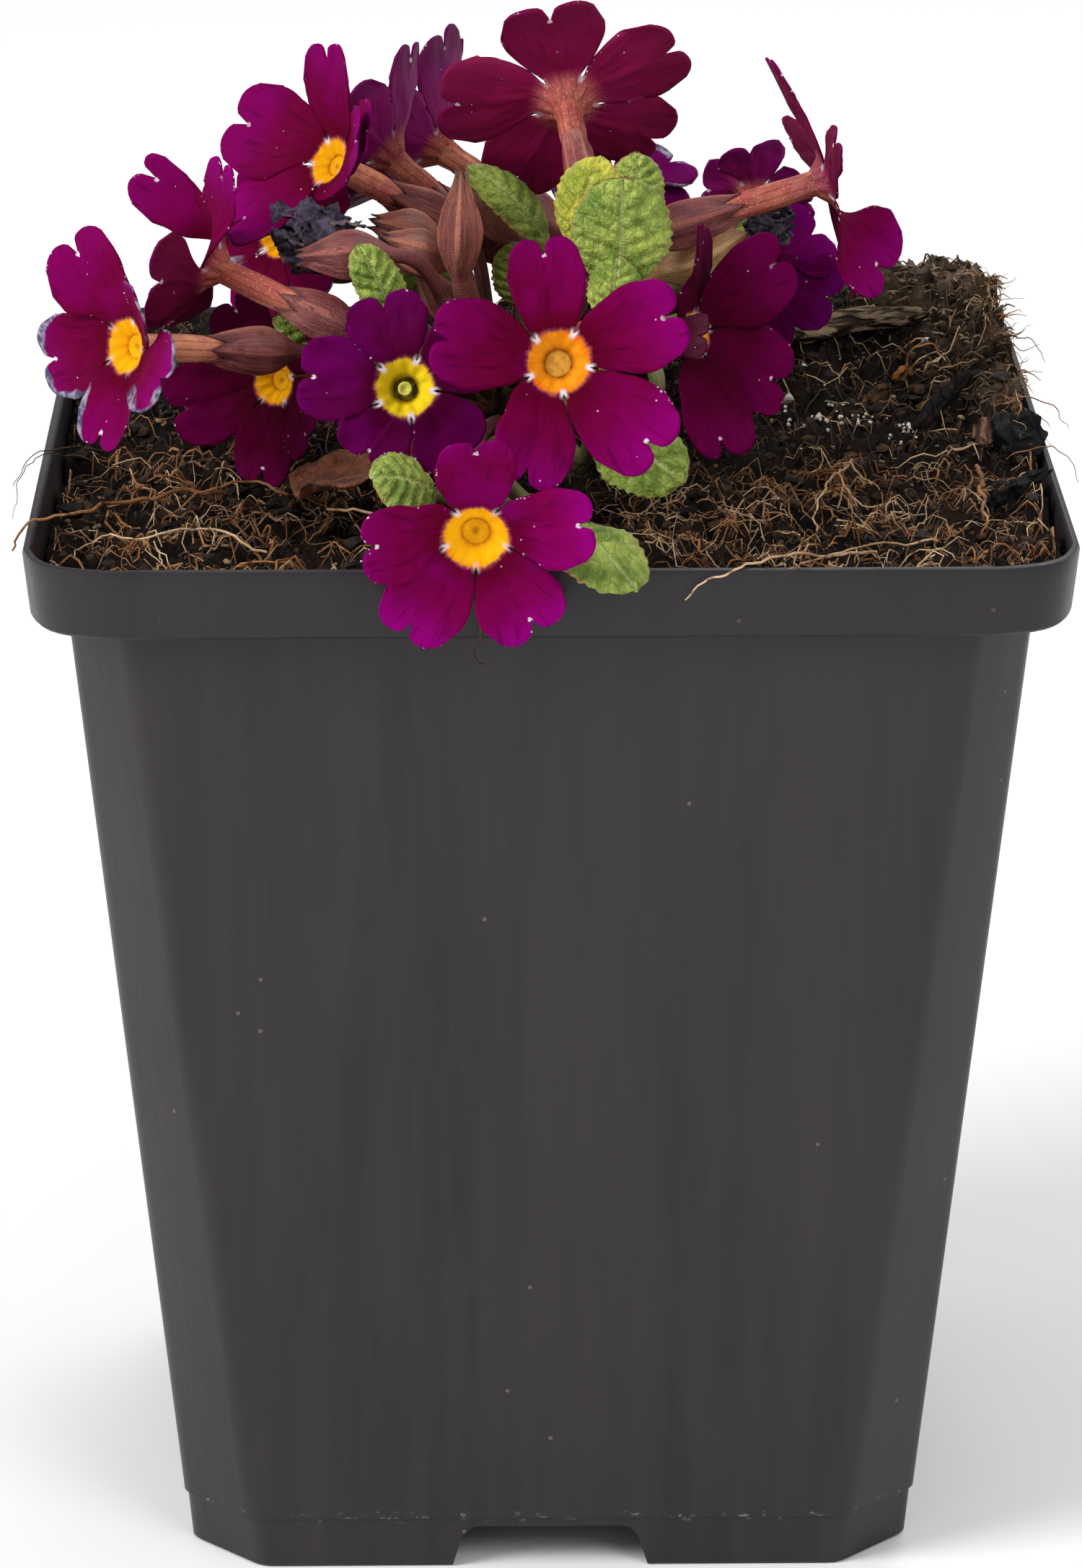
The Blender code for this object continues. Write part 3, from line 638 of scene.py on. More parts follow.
scatter(
    "peatCrumbs", 3, 1500, (0.35, 1.25), crumbLook("crumbs", (0.008, 0.005, 0.003), (0.075, 0.038, 0.018))
)
scatter(
    "barkBits", 5, 150, (0.8, 2.2), crumbLook("barkBitsLook", (0.006, 0.005, 0.005), (0.030, 0.024, 0.021)),
    squash=0.35
)
scatter(
    "tanBits", 9, 330, (0.3, 0.85), crumbLook("tanBitsLook", (0.12, 0.07, 0.035), (0.33, 0.21, 0.11)),
    squash=0.4
)
whiteLook = crumbLook("whiteGrainsLook", (0.55, 0.51, 0.45), (0.88, 0.85, 0.79))
scatter("whiteGrains", 11, 260, (0.14, 0.30), whiteLook, share=0.2)
rng = random.Random(12)
bm = bmesh.new()  # groups of small white grains
grainPlaces = [
    (28.3, 9.4), (30.5, 7.1), (31, 1.7), (33, 14.9), (33.6, 7.8), (36.8, 7.7), (39.7, 2.5), (40.6, 1.5),
    (35, 5.5), (30, 4)
]
bigGrains = [(44.3, 34.1), (32, 27.5), (26.9, 16.1)]
for x, y in grainPlaces * 7 + bigGrains:
    big = (x, y) in bigGrains
    x, y = x + rng.gauss(0, 0.8), y + rng.gauss(0, 1.3)
    radius = 0.55 if big else rng.uniform(0.13, 0.26)
    at = Matrix.Translation((x, y, soilTop(x, y) + 0.9))
    made = bmesh.ops.create_icosphere(bm, subdivisions=1, radius=radius, matrix=at)["verts"]
    for vert in made:
        vert.co += Vector([rng.uniform(-0.3, 0.3) * radius for _ in range(3)])
makePiece("grainGroups", bm, [whiteLook], [])


# fine roots and fibres

def rootLook(name, colors, scale=120):
    look, tree = newLook(name, roughness=0.7, Specular_IOR_Level=0.3)
    spot = placeCoords(tree)
    pick = patches(tree, spot, scale, 2, 0.38, 0.62)
    tone = mixColor(tree, pick, colors[0], colors[1])
    tone = mixColor(tree, patches(tree, spot, scale * 7, 3, 0.45, 0.7), tone, colors[2])
    return finishLook(look, tone, noiseOf(tree, spot, 3000, 3), 0.4, 0.0001)


def strands(name, paths, look, sides=1):
    curve = bpy.data.curves.new(name, "CURVE")
    curve.dimensions = "3D"
    curve.bevel_depth = 1.0 * mm
    curve.bevel_resolution = 0 if sides == 1 else sides
    curve.use_fill_caps = True
    for points, radius in paths:
        line = curve.splines.new("POLY")
        line.points.add(len(points) - 1)
        for number, (point, spot) in enumerate(zip(points, line.points)):
            taper = 1 - 0.6 * (number / (len(points) - 1)) ** 2
            spot.co = (*(Vector(point) * mm + potFoot), 1)
            spot.radius = radius * taper
    holder = newObject(name + "Line", curve)
    mesh = evaluatedMesh(holder)
    bpy.data.objects.remove(holder, do_unlink=True)
    mesh.name = name
    mesh.materials.clear()
    mesh.materials.append(look)
    mesh.shade_smooth()
    piece = newObject(name, mesh)
    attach(piece, "root")
    return piece


def wander(rng, x, y, length, steps, lift=0.5, turning=0.7, sink=0.25):
    # a root that creeps over the soil, dipping in and out of it
    heading = rng.uniform(0, math.tau)
    bend = rng.uniform(-turning, turning) * 0.5
    rise = rng.uniform(0, math.tau)
    points = []
    for step in range(steps + 1):
        share = step / steps
        height = soilTop(x, y) + lift * (math.sin(rise + share * 7) * 0.6 + 0.35) - sink
        points.append((x, y, height))
        heading += bend + rng.uniform(-turning, turning)
        bend = 0.7 * bend + rng.uniform(-turning, turning) * 0.3
        x += math.cos(heading) * length / steps
        y += math.sin(heading) * length / steps
        x, y = insideRim(x, y, 52.4, 7)
    return points


def rootPatch(name, seed, count, area, length, radius, look, lift=0.5, turning=0.6):
    rng = random.Random(seed)
    paths = []
    for _ in range(count):
        x, y = rng.uniform(area[0], area[1]), rng.uniform(area[2], area[3])
        x, y = insideRim(x, y, 52, 7)
        paths.append((wander(rng, x, y, rng.uniform(*length), 13, lift, turning), rng.uniform(*radius)))
    return strands(name, paths, look)


creamRoots = rootLook("creamRoots", [(0.36, 0.21, 0.10), (0.64, 0.46, 0.28), (0.19, 0.09, 0.038)])
orangeRoots = rootLook("orangeRoots", [(0.18, 0.066, 0.020), (0.37, 0.17, 0.062), (0.065, 0.025, 0.010)])
brownFibres = rootLook("brownFibres", [(0.032, 0.015, 0.007), (0.11, 0.055, 0.024), (0.010, 0.006, 0.004)])
mossLook = rootLook("mossStrands", [(0.095, 0.060, 0.028), (0.27, 0.19, 0.12), (0.040, 0.023, 0.012)], 200)
rootPatch("rootsFrontRight", 21, 105, (8, 52, -52, -22), (7, 22), (0.05, 0.12), creamRoots, 1.9, 1.15)
rootPatch(
    "rootsFrontRightOrange", 22, 195, (10, 52, -52, -14), (5, 16), (0.05, 0.14), orangeRoots, 1.7, 1.1
)
rootPatch("rootsLeft", 23, 100, (-52, -14, -52, 0), (7, 20), (0.05, 0.14), creamRoots, 1.7, 0.8)
rootPatch("rootsLeftOrange", 24, 235, (-52, -10, -52, 10), (5, 18), (0.06, 0.20), orangeRoots, 1.7, 0.8)
rootPatch("fibresAll", 25, 1300, (-52, 52, -52, 52), (3, 10), (0.05, 0.14), brownFibres, 1.3, 0.8)
rootPatch("fibresPale", 26, 110, (-52, 52, -52, 52), (4, 12), (0.04, 0.09), creamRoots, 1.5, 0.8)
rootPatch("rootsRight", 27, 40, (22, 52, -20, 40), (6, 18), (0.05, 0.12), creamRoots, 1.8, 0.8)
rng = random.Random(28)
fringe = []
for _ in range(190):  # loose curls that stand out over the right rim
    x, y = rng.uniform(50.5, 53), rng.uniform(-14, 47)
    spot = Vector((x, y, soilTop(x, y) - 0.3))
    way = Vector((rng.uniform(0.1, 1), rng.uniform(-0.9, 0.9), rng.uniform(-0.1, 1.0))).normalized()
    line, length = [], rng.uniform(1.5, 4.8)
    for step in range(9):
        line.append(spot.copy())
        way = (
            way + Vector([rng.uniform(-0.5, 0.5) for _ in range(3)]) + Vector((-0.08, 0, -0.10))
        ).normalized()
        spot += way * length / 8
        spot.x = min(spot.x, 56.2)
    fringe.append((line, rng.uniform(0.04, 0.10)))
strands("rimFringe", fringe[:60], creamRoots)
strands("rimFringeBrown", fringe[60:], orangeRoots)
longRoots = {  # big roots and stray hairs that cross the rim, as points
    "branchRoot": {
        "points": [
            (33.4, -17.5, 120.5), (31.3, -22.9, 120.7), (29.9, -27.4, 120.5), (28.7, -32.2, 119.9),
            (27.5, -40.2, 119.0)
        ],
        "radius": 0.17, "look": creamRoots
    },
    "branchRootTwo": {
        "points": [(32.2, -28.1, 119.5), (30.9, -24.6, 120.6), (30.4, -25.6, 120.6), (29.9, -27.4, 120.4)],
        "radius": 0.14, "look": creamRoots
    },
    "branchRootThree": {
        "points": [(34.5, -24.0, 119.4), (32.9, -21.0, 120.6), (31.9, -20.6, 120.9), (31.3, -22.9, 120.7)],
        "radius": 0.13, "look": creamRoots
    },
    "brownRoot": {
        "points": [(46.1, -21.6, 120.9), (46.0, -30.1, 120.9), (45.6, -36.0, 120.2), (45.4, -42.6, 119.3)],
        "radius": 0.24, "look": orangeRoots
    },
    "loopRoot": {
        "points": [
            (41.2, 25.4, 118.5), (42.6, 25.9, 121.2), (44.3, 26.4, 122.2), (45.7, 26.4, 121.0),
            (46.5, 27.9, 118.5)
        ],
        "radius": 0.13, "look": orangeRoots
    },
    "curlRight": {
        "points": [
            (44.6, 21.5, 119.4), (46.1, 20.9, 120.6), (47.3, 19.6, 121.6), (49.1, 19.5, 121.8),
            (49.7, 19.9, 120.9)
        ],
        "radius": 0.12, "look": creamRoots
    },
    "leftRoot": {
        "points": [
            (-34, -24, 118.5), (-39, -28, 120.0), (-44, -29, 119.6), (-49, -35, 120.3), (-54.5, -38, 119.6),
            (-56.6, -41, 117.5)
        ],
        "radius": 0.24, "look": orangeRoots
    },
    "leftRootTwo": {
        "points": [
            (-24, -24, 118.0), (-28, -27, 119.6), (-33, -26, 120.6), (-38, -29, 119.6), (-41, -33, 118.0)
        ],
        "radius": 0.18, "look": orangeRoots
    },
    "leftRootThree": {
        "points": [
            (-30, -40, 117.0), (-36, -37, 118.6), (-42, -41, 118.8), (-47, -38, 118.4), (-50, -44, 117.2)
        ],
        "radius": 0.14, "look": creamRoots
    },
    "frontRoot": {
        "points": [
            (34, -47, 118.6), (28, -51, 119.6), (22, -54, 119.9), (17, -55.6, 118.8), (13.5, -56.0, 116.6)
        ],
        "radius": 0.17, "look": creamRoots
    },
    "frontRootTwo": {
        "points": [(40, -44, 119.0), (33, -49, 120.0), (27, -53.5, 119.8), (24, -55.2, 119.4)],
        "radius": 0.12, "look": creamRoots
    },
    "underFlower": {
        "points": [(-8, -55.6, 116.4), (-7.4, -55.9, 113.0), (-8.2, -55.6, 110.6), (-7.0, -53.4, 108.6)],
        "radius": 0.16, "look": brownFibres
    },
    "pinkRoot": {
        "points": [(-24, -32, 119.4), (-17, -35, 120.0), (-12, -33, 121.4), (-9.5, -30, 124.0)],
        "radius": 0.16, "look": creamRoots
    },
    "leftHair": {
        "points": [(-44, -6, 118.6), (-50, -12, 120.6), (-55, -18, 121.4), (-57, -24, 119.6)],
        "radius": 0.08, "look": brownFibres
    },
    "leftHairTwo": {
        "points": [(-46, -14, 118.6), (-52, -16, 120.9), (-56, -22, 121.0), (-57, -30, 118.0)],
        "radius": 0.07, "look": brownFibres
    },
    "rightHair": {
        "points": [(50, 2, 120.6), (53.5, 0, 122.4), (56, -3, 122.2), (57, -7, 120.6)], "radius": 0.08,
        "look": orangeRoots
    },
    "rightHairTwo": {
        "points": [(50, 20, 122.5), (53, 18, 124.8), (55, 15, 125.0), (56, 11, 123.5)], "radius": 0.07,
        "look": brownFibres
    },
    "rightHairThree": {
        "points": [(50, -14, 119.5), (53.5, -16, 121.2), (55.6, -19, 120.8), (56.4, -23, 119.2)],
        "radius": 0.07, "look": orangeRoots
    },
}
kinkSeed = 1795360536  # fixes what noise_vector gives, so that the kinks are the same in every run
noise.seed_set(kinkSeed)
for name, root in longRoots.items():
    spots = [Vector(point) for point in root["points"]]
    fine = []
    for number in range(len(spots) - 1):  # a smooth line through the points, with small kinks
        before, after = spots[max(number - 1, 0)], spots[min(number + 2, len(spots) - 1)]
        a, b = spots[number], spots[number + 1]
        part = bezier(a, a + (b - before) / 6, b - (after - a) / 6, b, 8)
        fine += part[:-1] if number < len(spots) - 2 else part
    fine = [
        point + 0.7 * noise.noise_vector(point * 0.3) + 0.25 * noise.noise_vector(point * 1.1)
        for point in fine
    ]
    strands(name, [(fine, root["radius"])], root["look"], 3)
rng = random.Random(31)
mossPaths = []
for _ in range(900):  # short moss strands on the mound and on the ridge, mostly lying down
    if rng.random() < 0.65:
        x, y = insideRim(rng.gauss(40, 10), rng.gauss(45, 8), 52.5, 7)
    else:
        x, y = insideRim(rng.gauss(51.5, 2.5), rng.uniform(-10, 48), 52.5, 7)
    base = Vector((x, y, soilTop(x, y) - 0.2))
    lean = Vector(
        (rng.uniform(-1, 1), rng.uniform(-1, 0.6), rng.uniform(0.05, 0.65))
    ) * rng.uniform(0.5, 1.4)
    sag = Vector((lean.x, lean.y, -lean.z * 0.8)) * rng.uniform(0.3, 1.0)
    mossPaths.append(([base, base + lean * 0.5, base + lean, base + lean + sag], rng.uniform(0.09, 0.22)))
strands("moss", mossPaths, mossLook)
print("roots and moss done")

# petals and corollas

# eye: the middle of the flower; face: the way it looks; spin: the first petal's turn from straight up
# reach and cup: how far its petals reach and how steeply they rise, where all five are alike
# petals: for each of the five, turn, lean, twist and curl in degrees, then length and half width
flowers = {
    "a": {
        "eyeRadius": 2.75, "eye": (-44.6, -30, 136.6), "face": (-0.75, -0.63, 0.19), "spin": 22,
        "tube": 12.5, "hue": "purple", "dry": 0.9,
        "petals": [
            (18, 21, 14, -10, 13.4, 4.7), (14, 5, -14, 0, 13, 4.6), (9, 9, -5, 0, 11.2, 3.7),
            (24, 30, -14, -14, 12.6, 4.6), (8, 40, 4, 0, 10.5, 2.8)
        ]
    },
    "b": {
        "eyeRadius": 2.6, "eye": (-36.0, -10, 140.3), "face": (-0.88, 0.33, 0.35), "spin": 24, "tube": 10.5,
        "calyx": 7.2, "hue": "purple",
        "petals": [
            (-8, 77, 66, 0, 15.3, 5.7), (8, 30, 0, 0, 10.5, 4.6), (0, 28.6, 25, 0, 11, 4.9),
            (25, 24, 12, -3, 11.0, 5.2), (32, 8, 61, 0, 13.4, 2.9)
        ]
    },
    "c": {
        "eyeRadius": 2.5, "eye": (-23.6, 0, 149.5), "face": (-0.70, -0.52, 0.50), "spin": 0, "tube": 10.5,
        "hue": "purple",
        "petals": [
            (11, 34, -9, -8, 13, 4.6), (14, 19, 0, 0, 14.8, 5.4), (-1, 16, 4, 0, 13.8, 4.8),
            (66, 36, 10, 0, 14, 4.2), (8, 28, 0, 0, 11, 4.2)
        ]
    },
    "d": {
        "eyeRadius": 2.4, "eye": (-29.2, 9, 139.0), "face": (-0.50, -0.75, 0.40), "spin": 30, "reach": 9.5,
        "cup": 0, "tube": 8.0, "hue": "purple", "dry": 0.7
    },
    "e": {
        "eyeRadius": 2.4, "eye": (-29.6, -9, 127.1), "face": (-0.60, -0.80, 0.12), "spin": 38, "tube": 8.0,
        "hue": "wine",
        "petals": [
            (0, 4, 0, 0, 10.5, 4.2), (3, 14, -14, 0, 13.4, 4.9), (-3, 6.5, -2, 0, 11.3, 3.9),
            (-13, 34, 6, 0, 11.4, 3.8), (0, 20, 0, 0, 9, 3.8)
        ]
    },
    "f": {
        "eye": (-15.2, -38, 134.1), "face": (-0.03, -0.95, 0.30), "spin": 13, "tube": 8.0, "hue": "violet",
        "pin": True, "eyeRadius": 2.95, "eyeHue": "lemon",
        "petals": [
            (2, -6, 0, 0, 10.2, 4.4), (-2, -2.5, 0, 0, 11.2, 4.5), (-7, -5, -2, 0, 8.6, 4.1),
            (-7, -4, 0, 0, 9.6, 4.3), (0, -4, 0, 0, 9.8, 4.3)
        ]
    },
    "g": {
        "eye": (0.7, -47, 139.2), "face": (0.02, -0.94, 0.34), "spin": 8, "tube": 8.0, "hue": "purple",
        "eyeHue": "orange",
        "petals": [
            (-0.6, 3.8, 0, 0, 12.9, 4), (-1, 18, -6, -8, 13.6, 4.7), (11, 18, -10, -6, 13.6, 4.3),
            (3, 6, 0, 0, 14.3, 4.9), (-4, 2.5, 0, 4, 13.7, 4.7)
        ]
    },
    "h": {
        "eye": (-7.9, -59, 124.0), "face": (0, -0.98, -0.12), "spin": 0, "tube": 8.0, "hue": "bright",
        "petals": [
            (0, 12, 8, 0, 11.4, 4.2), (19, 16, 5, 0, 11.9, 4.3), (1, 1.5, -7, 0, 13.2, 4.6),
            (-5.5, -6, -6, 0, 12.8, 4.6), (-9.5, 4.5, -5, 0, 12.2, 4.4)
        ]
    },
    "i": {
        "eyeRadius": 2.2, "eye": (15.5, -24, 136.2), "face": (0.74, -0.63, 0.22), "spin": 18, "tube": 8.0,
        "hue": "wine",
        "petals": [
            (-38, 3, 30, 0, 11.6, 4.2), (-3, 82, -20, 0, 7.4, 2.6), (10, 17, 13, 0, 13.8, 4.6),
            (0, 12, 3, 0, 13.9, 4.9), (-9, 26, 0, -6, 14.2, 4.9)
        ]
    },
    "j": {
        "eye": (2.4, 5, 155.0), "face": (-0.10, 0.92, 0.38), "spin": -10, "tube": 9.0, "hue": "crimson",
        "radius": 1.75, "neck": 1.5, "teeth": 0.3,
        "petals": [
            (-2, -10, -3, 0, 14.2, 5.7), (0, 2, 6, 0, 14, 5.2), (-10, 15, 6, 0, 14.2, 5.2),
            (-1, 6, 6, 0, 13.2, 5), (-6, -4, 4, 0, 14.2, 5.4)
        ]
    },
    "k": {
        "eye": (-17.8, 19, 146.1), "face": (-0.75, 0.30, 0.58), "spin": 10, "reach": 13.0, "cup": 33,
        "tube": 9.0, "hue": "violet"
    },
    "l": {
        "eye": (-12.3, 33, 143.8), "face": (-0.80, 0.30, 0.50), "spin": -8, "reach": 14.2, "cup": 30,
        "tube": 9.0, "hue": "violet"
    },
    "m": {
        "eyeRadius": 2.7, "eye": (30.9, 4, 146.3), "face": (0.94, 0.10, 0.28), "spin": 10, "tube": 11.5,
        "hue": "purple",
        "petals": [
            (-17, -12.5, 6, 0.8, 14.9, 2.5), (-28, 12, -5, 0, 11.0, 2.5), (26, 12, 43, 19.6, 13.4, 6.4),
            (-35, -6, 0, 6, 14.5, 2.9), (-9, -13, -5, 0, 11.4, 3.4)
        ]
    },
    "n": {
        "eyeRadius": 2.0, "eye": (24.6, 20, 131.8), "face": (0.55, -0.75, 0.30), "spin": 30, "tube": 7.0,
        "hue": "violet",
        "petals": [
            (0, 0, 0, 0, 7.5, 3.6), (0, 0, 0, 0, 9, 3.7), (0, 0, 0, 0, 9, 3.7),
            (-2, 5.5, 20, -2, 10.7, 4.5), (-26, 5, -12, -2, 10.1, 4.8)
        ]
    },
    "o": {
        "eyeRadius": 2.2, "eye": (24.4, 31, 138.4), "face": (0.10, 0.75, 0.65), "spin": 0, "tube": 7.0,
        "hue": "violet",
        "petals": [
            (-1, 0, 17, -2, 9.2, 3.9), (0, -4, 0, 0, 6.5, 3.5), (0, 0, 0, 0, 8, 3.6), (0, 0, 0, 0, 8, 3.6),
            (-1, -16, 30, -3, 6.4, 4.0)
        ]
    },
    "p": {
        "eyeRadius": 2.4, "eye": (9.2, 37, 137.6), "face": (0.35, -0.45, 0.80), "spin": 20, "tube": 7.0,
        "hue": "violet", "dry": 0.5,
        "petals": [
            (0, -4, 0, 0, 9, 3.7), (0, -4, 0, 0, 9, 3.7), (0, -4, 0, 0, 9, 3.7), (0, -4, 0, 0, 9, 3.7),
            (-25, 6.4, -14.4, -1.7, 10.2, 4.5)
        ]
    },
}
sectorHalf = math.radians(36)  # half of the turn from one petal to the next
petalShape = {
    "throat": 1.45, "eyeRadius": 3.2, "eyeDepth": 1.7, "width": 0.41, "notch": 0.13, "corner": 0.37,
    "eyeRows": 6, "rows": 25, "columns": 20, "thickness": 0.22
}


def petalSettings(flower, number):
    # turn, lean, twist, curl, length and half width of one petal
    given = flower.get("petals", [None] * 5)[number]
    if given:
        return given
    return (0, flower["cup"], 0, 0, flower["reach"], flower["reach"] * petalShape["width"])


def petalSpot(flower, number, across, along, seed=0.0):
    # across -1 to 1, along 0 at the throat to 1 at the lobes
    # gives the place, and the maps that the look reads

    shape = petalShape
    turn, lean, twist, curl, length, half = petalSettings(flower, number)
    rim = flower.get("eyeRadius", shape["eyeRadius"])
    grown = rim / shape["eyeRadius"]
    depth = shape["eyeDepth"] * grown
    angle = math.radians(90 + flower["spin"] + 72 * number)
    eyeShare = shape["eyeRows"] / shape["rows"]
    fan = sectorHalf * across
    if along <= eyeShare + 1e-6:
        share = along / eyeShare
        radius = mix(shape["throat"] * grown, rim, share)
        wave = 0.14 * math.cos(math.tau * across) * math.sin(math.pi * min(share, 1))
        height = -depth * max(0, 1 - share) ** 1.35 + wave
        spot = Vector((radius * math.cos(angle + fan), radius * math.sin(angle + fan), height))
        gap = radius * math.sin(sectorHalf) * (1 - abs(across))
        return spot, Vector((radius * math.sin(fan) / grown, radius / grown, gap)), Vector((9, 9, number))
    t = min(1, (along - eyeShare) / (1 - eyeShare))
    span = length - rim
    edge = abs(across)
    # two round lobes with a narrow cleft between them, one lobe a little longer
    end = 1 - shape["notch"] * max(0, 1 - edge / 0.14) ** 1.3 - 0.06 * max(0, 1 - edge / 0.42) ** 2
    if edge > 0.42:
        end -= shape["corner"] * (1 - math.sqrt(max(0, 1 - ((edge - 0.42) / 0.58) ** 2)))
    end += 0.05 * across * noise.noise(Vector((seed, number * 2.7, 1)))
    reach = t * mix(1, end, t**1.6)
    out, up, steps = rim, 0.0, 8
    for step in range(steps):  # walk along the petal's middle line, bending as it goes
        done = (step + 0.5) / steps * reach
        rise = math.radians(mix(24, lean, smooth(done * span / 1.4)) + curl * done)
        out += math.cos(rise) * reach * span / steps
        up += math.sin(rise) * reach * span / steps
    rise = math.radians(lean + curl * reach)
    inward = rim * (1 - math.cos(sectorHalf)) * (1 - smooth(t / 0.3))
    sector = (out - inward) * math.tan(sectorHalf) * 0.997
    swell = math.sin(math.radians(90) * min(1, reach / 0.6))
    width = min(sector, mix(2.25, half, swell**1.1))
    if t < 0.12:
        width = mix(rim * math.sin(sectorHalf), width, t / 0.12)
    lateral = width * (across if t > 0.12 else mix(math.sin(fan) / math.sin(sectorHalf), across, t / 0.12))
    out -= rim * (1 - math.cos(fan)) * (1 - smooth(t / 0.3))
    bend = math.radians(twist) * smooth(t / 0.5)
    curved = half * 0.10 * (edge**2 - 0.3) * smooth(t / 0.4)
    groove = -0.16 * math.exp(-((edge / 0.10) ** 2)) * smooth(t / 0.2) * (1 - 0.5 * t)
    ruffle = 0.32 * noise.noise(
        Vector((across * 2.1 + seed, t * 2.3, number * 3.7 + seed))
    ) * smooth(t / 0.5)
    ruffle += 0.10 * noise.noise(Vector((across * 7 + seed, t * 6, number * 5.1))) * smooth(t / 0.4)
    lift = curved + groove + ruffle + math.sin(bend) * lateral
    side = math.cos(bend) * lateral
    out += -math.sin(rise) * lift
    up += math.cos(rise) * lift
    swing = angle + math.radians(turn) * smooth(t / 0.45)
    turnCos, turnSin = math.cos(swing), math.sin(swing)
    spot = Vector((turnCos * out - turnSin * side, turnSin * out + turnCos * side, up))
    gap = min(width * (1 - edge), span * end * (1 - t) if edge > 0.08 else 9)
    toCleft = (0.94 - shape["notch"] - reach) * span
    return spot, Vector(
        (lateral, shape["eyeRadius"] + reach * span, gap)
    ), Vector((lateral, toCleft, number))


def buildCorolla(name, flower, looks):
    bm = bmesh.new()
    petalLayer = bm.verts.layers.float_vector.new("petalMap")
    notchLayer = bm.verts.layers.float_vector.new("notchMap")
    layers = (petalLayer, notchLayer)
    seed = ord(name) * 1.7
    for number in range(5):
        def place(across, along):
            v = across * 2 - 1  # columns are closer together at the cleft
            return petalSpot(flower, number, math.copysign(abs(v) ** 1.35, v), along, seed)
        addGrid(bm, petalShape["columns"], petalShape["rows"], place, layers=layers)
    grown = flower.get("eyeRadius", petalShape["eyeRadius"]) / petalShape["eyeRadius"]
    throat, depth = petalShape["throat"] * grown, petalShape["eyeDepth"] * grown
    length = flower["tube"]
    start = math.radians(90 + flower["spin"] + 36)

    def tubePlace(across, along):  # inner end at the throat, outer end inside the calyx
        angle = start + across * math.tau
        rib = 1 + 0.045 * math.cos(5 * (angle - start)) * smooth(along * 5)
        radius = mix(throat, 1.12, smooth(along * 4)) * rib + 0.16 * math.sin(math.pi * along) ** 2
        height = mix(-depth, -length, along)
        spot = Vector((radius * math.cos(angle), radius * math.sin(angle), height))
        return spot, Vector((0, 1.45 - along * 5, 9)), Vector((9, 9, across))

    addGrid(bm, petalShape["columns"] * 5, 9, tubePlace, layers=layers)
    bmesh.ops.remove_doubles(bm, verts=bm.verts[:], dist=0.012)
    bmesh.ops.recalc_face_normals(bm, faces=bm.faces[:])
    up = sum(
        (face.normal * face.calc_area() for face in bm.faces if face.calc_center_median().length > 5),
        Vector()
    )
    if up.z < 0:
        bmesh.ops.reverse_faces(bm, faces=bm.faces[:])
    pin, rough = flower.get("pin"), flower.get("eyeHue") == "orange"
    bottom = -depth - (0.2 if pin else 0.1 if rough else -0.02)

    def plugPlace(across, along):  # what closes the throat: a shallow rough dome
        angle, radius = across * math.tau, mix(0.0, 0.985 * throat, along)
        grain = Vector((math.cos(angle) * radius * 1.6, math.sin(angle) * radius * 1.6, seed))
        bumps = 0.10 * noise.noise(grain) * (1 - along**4)
        dome = 0.28 if pin else 0.12 if rough else -0.12
        height = bottom - (1.1 if pin else 0.0) + dome * (1 - along**2) + bumps
        spot = Vector((radius * math.cos(angle), radius * math.sin(angle), height))
        return spot, Vector((0, 1.45 * along, 9)), Vector((9, 9, across))

    plug = addGrid(bm, 20, 6, plugPlace, closed=True, layers=layers, slotIndex=2 if pin or rough else 0)
    bm.normal_update()
    plug = [face for face in plug if face.is_valid]
    if sum(face.normal.z for face in plug) < 0:
        bmesh.ops.reverse_faces(bm, faces=plug)
    if pin:
        heights = (-1.4, -0.9, -0.4, 0.1, 0.35, 0.5, 0.55, 0.5, 0.35, 0.3)
        radii = (0.16, 0.16, 0.2, 0.5, 0.72, 0.74, 0.62, 0.48, 0.36, 0.02)
        points = [Vector((0, 0, bottom + 0.4 + 0.2 * step)) for step in range(10)]

        def stigmaAt(share, angle):
            row = round(share * 9)
            return radii[row], heights[row] - 0.2 * row

        addTube(bm, points, stigmaAt, around=20, slotIndex=4)
    turn = turnTo(flower["face"])
    bmesh.ops.rotate(bm, cent=(0, 0, 0), matrix=turn, verts=bm.verts[:])
    bmesh.ops.translate(bm, vec=flower["eye"], verts=bm.verts[:])
    return makePiece(
        "corolla" + name.upper(), bm, looks, ["corolla_" + name], petalShape["thickness"], 1
    )


petalColors = {  # near the eye, middle, outer part, and the back
    "purple": [(0.090, 0.000, 0.013), (0.145, 0.000, 0.042), (0.215, 0.000, 0.122), (0.145, 0.000, 0.036)],
    "bright": [(0.095, 0.000, 0.016), (0.175, 0.000, 0.058), (0.270, 0.000, 0.180), (0.160, 0.000, 0.045)],
    # the crimson and violet back colours are raised as painted light, for petal backs that the lamps leave
    # in shade
    "crimson": [(0.120, 0.000, 0.020), (0.160, 0.000, 0.040), (0.200, 0.000, 0.090), (0.230, 0.000, 0.056)],
    "violet": [(0.060, 0.000, 0.020), (0.098, 0.000, 0.055), (0.150, 0.000, 0.130), (0.250, 0.000, 0.130)],
    # purple petals painted darker as painted shade, for the flowers that sit in shade
    "wine": [(0.042, 0.000, 0.007), (0.070, 0.000, 0.018), (0.135, 0.000, 0.055), (0.055, 0.000, 0.014)],
}


eyeColors = {  # rim, middle and throat
    "orange": [(0.72, 0.11, 0.003), (0.80, 0.29, 0.010), (0.42, 0.15, 0.010)],
    "golden": [(0.82, 0.27, 0.003), (0.88, 0.44, 0.006), (0.70, 0.32, 0.008)],
    "lemon": [(0.78, 0.50, 0.010), (0.80, 0.58, 0.012), (0.30, 0.20, 0.010)],
}


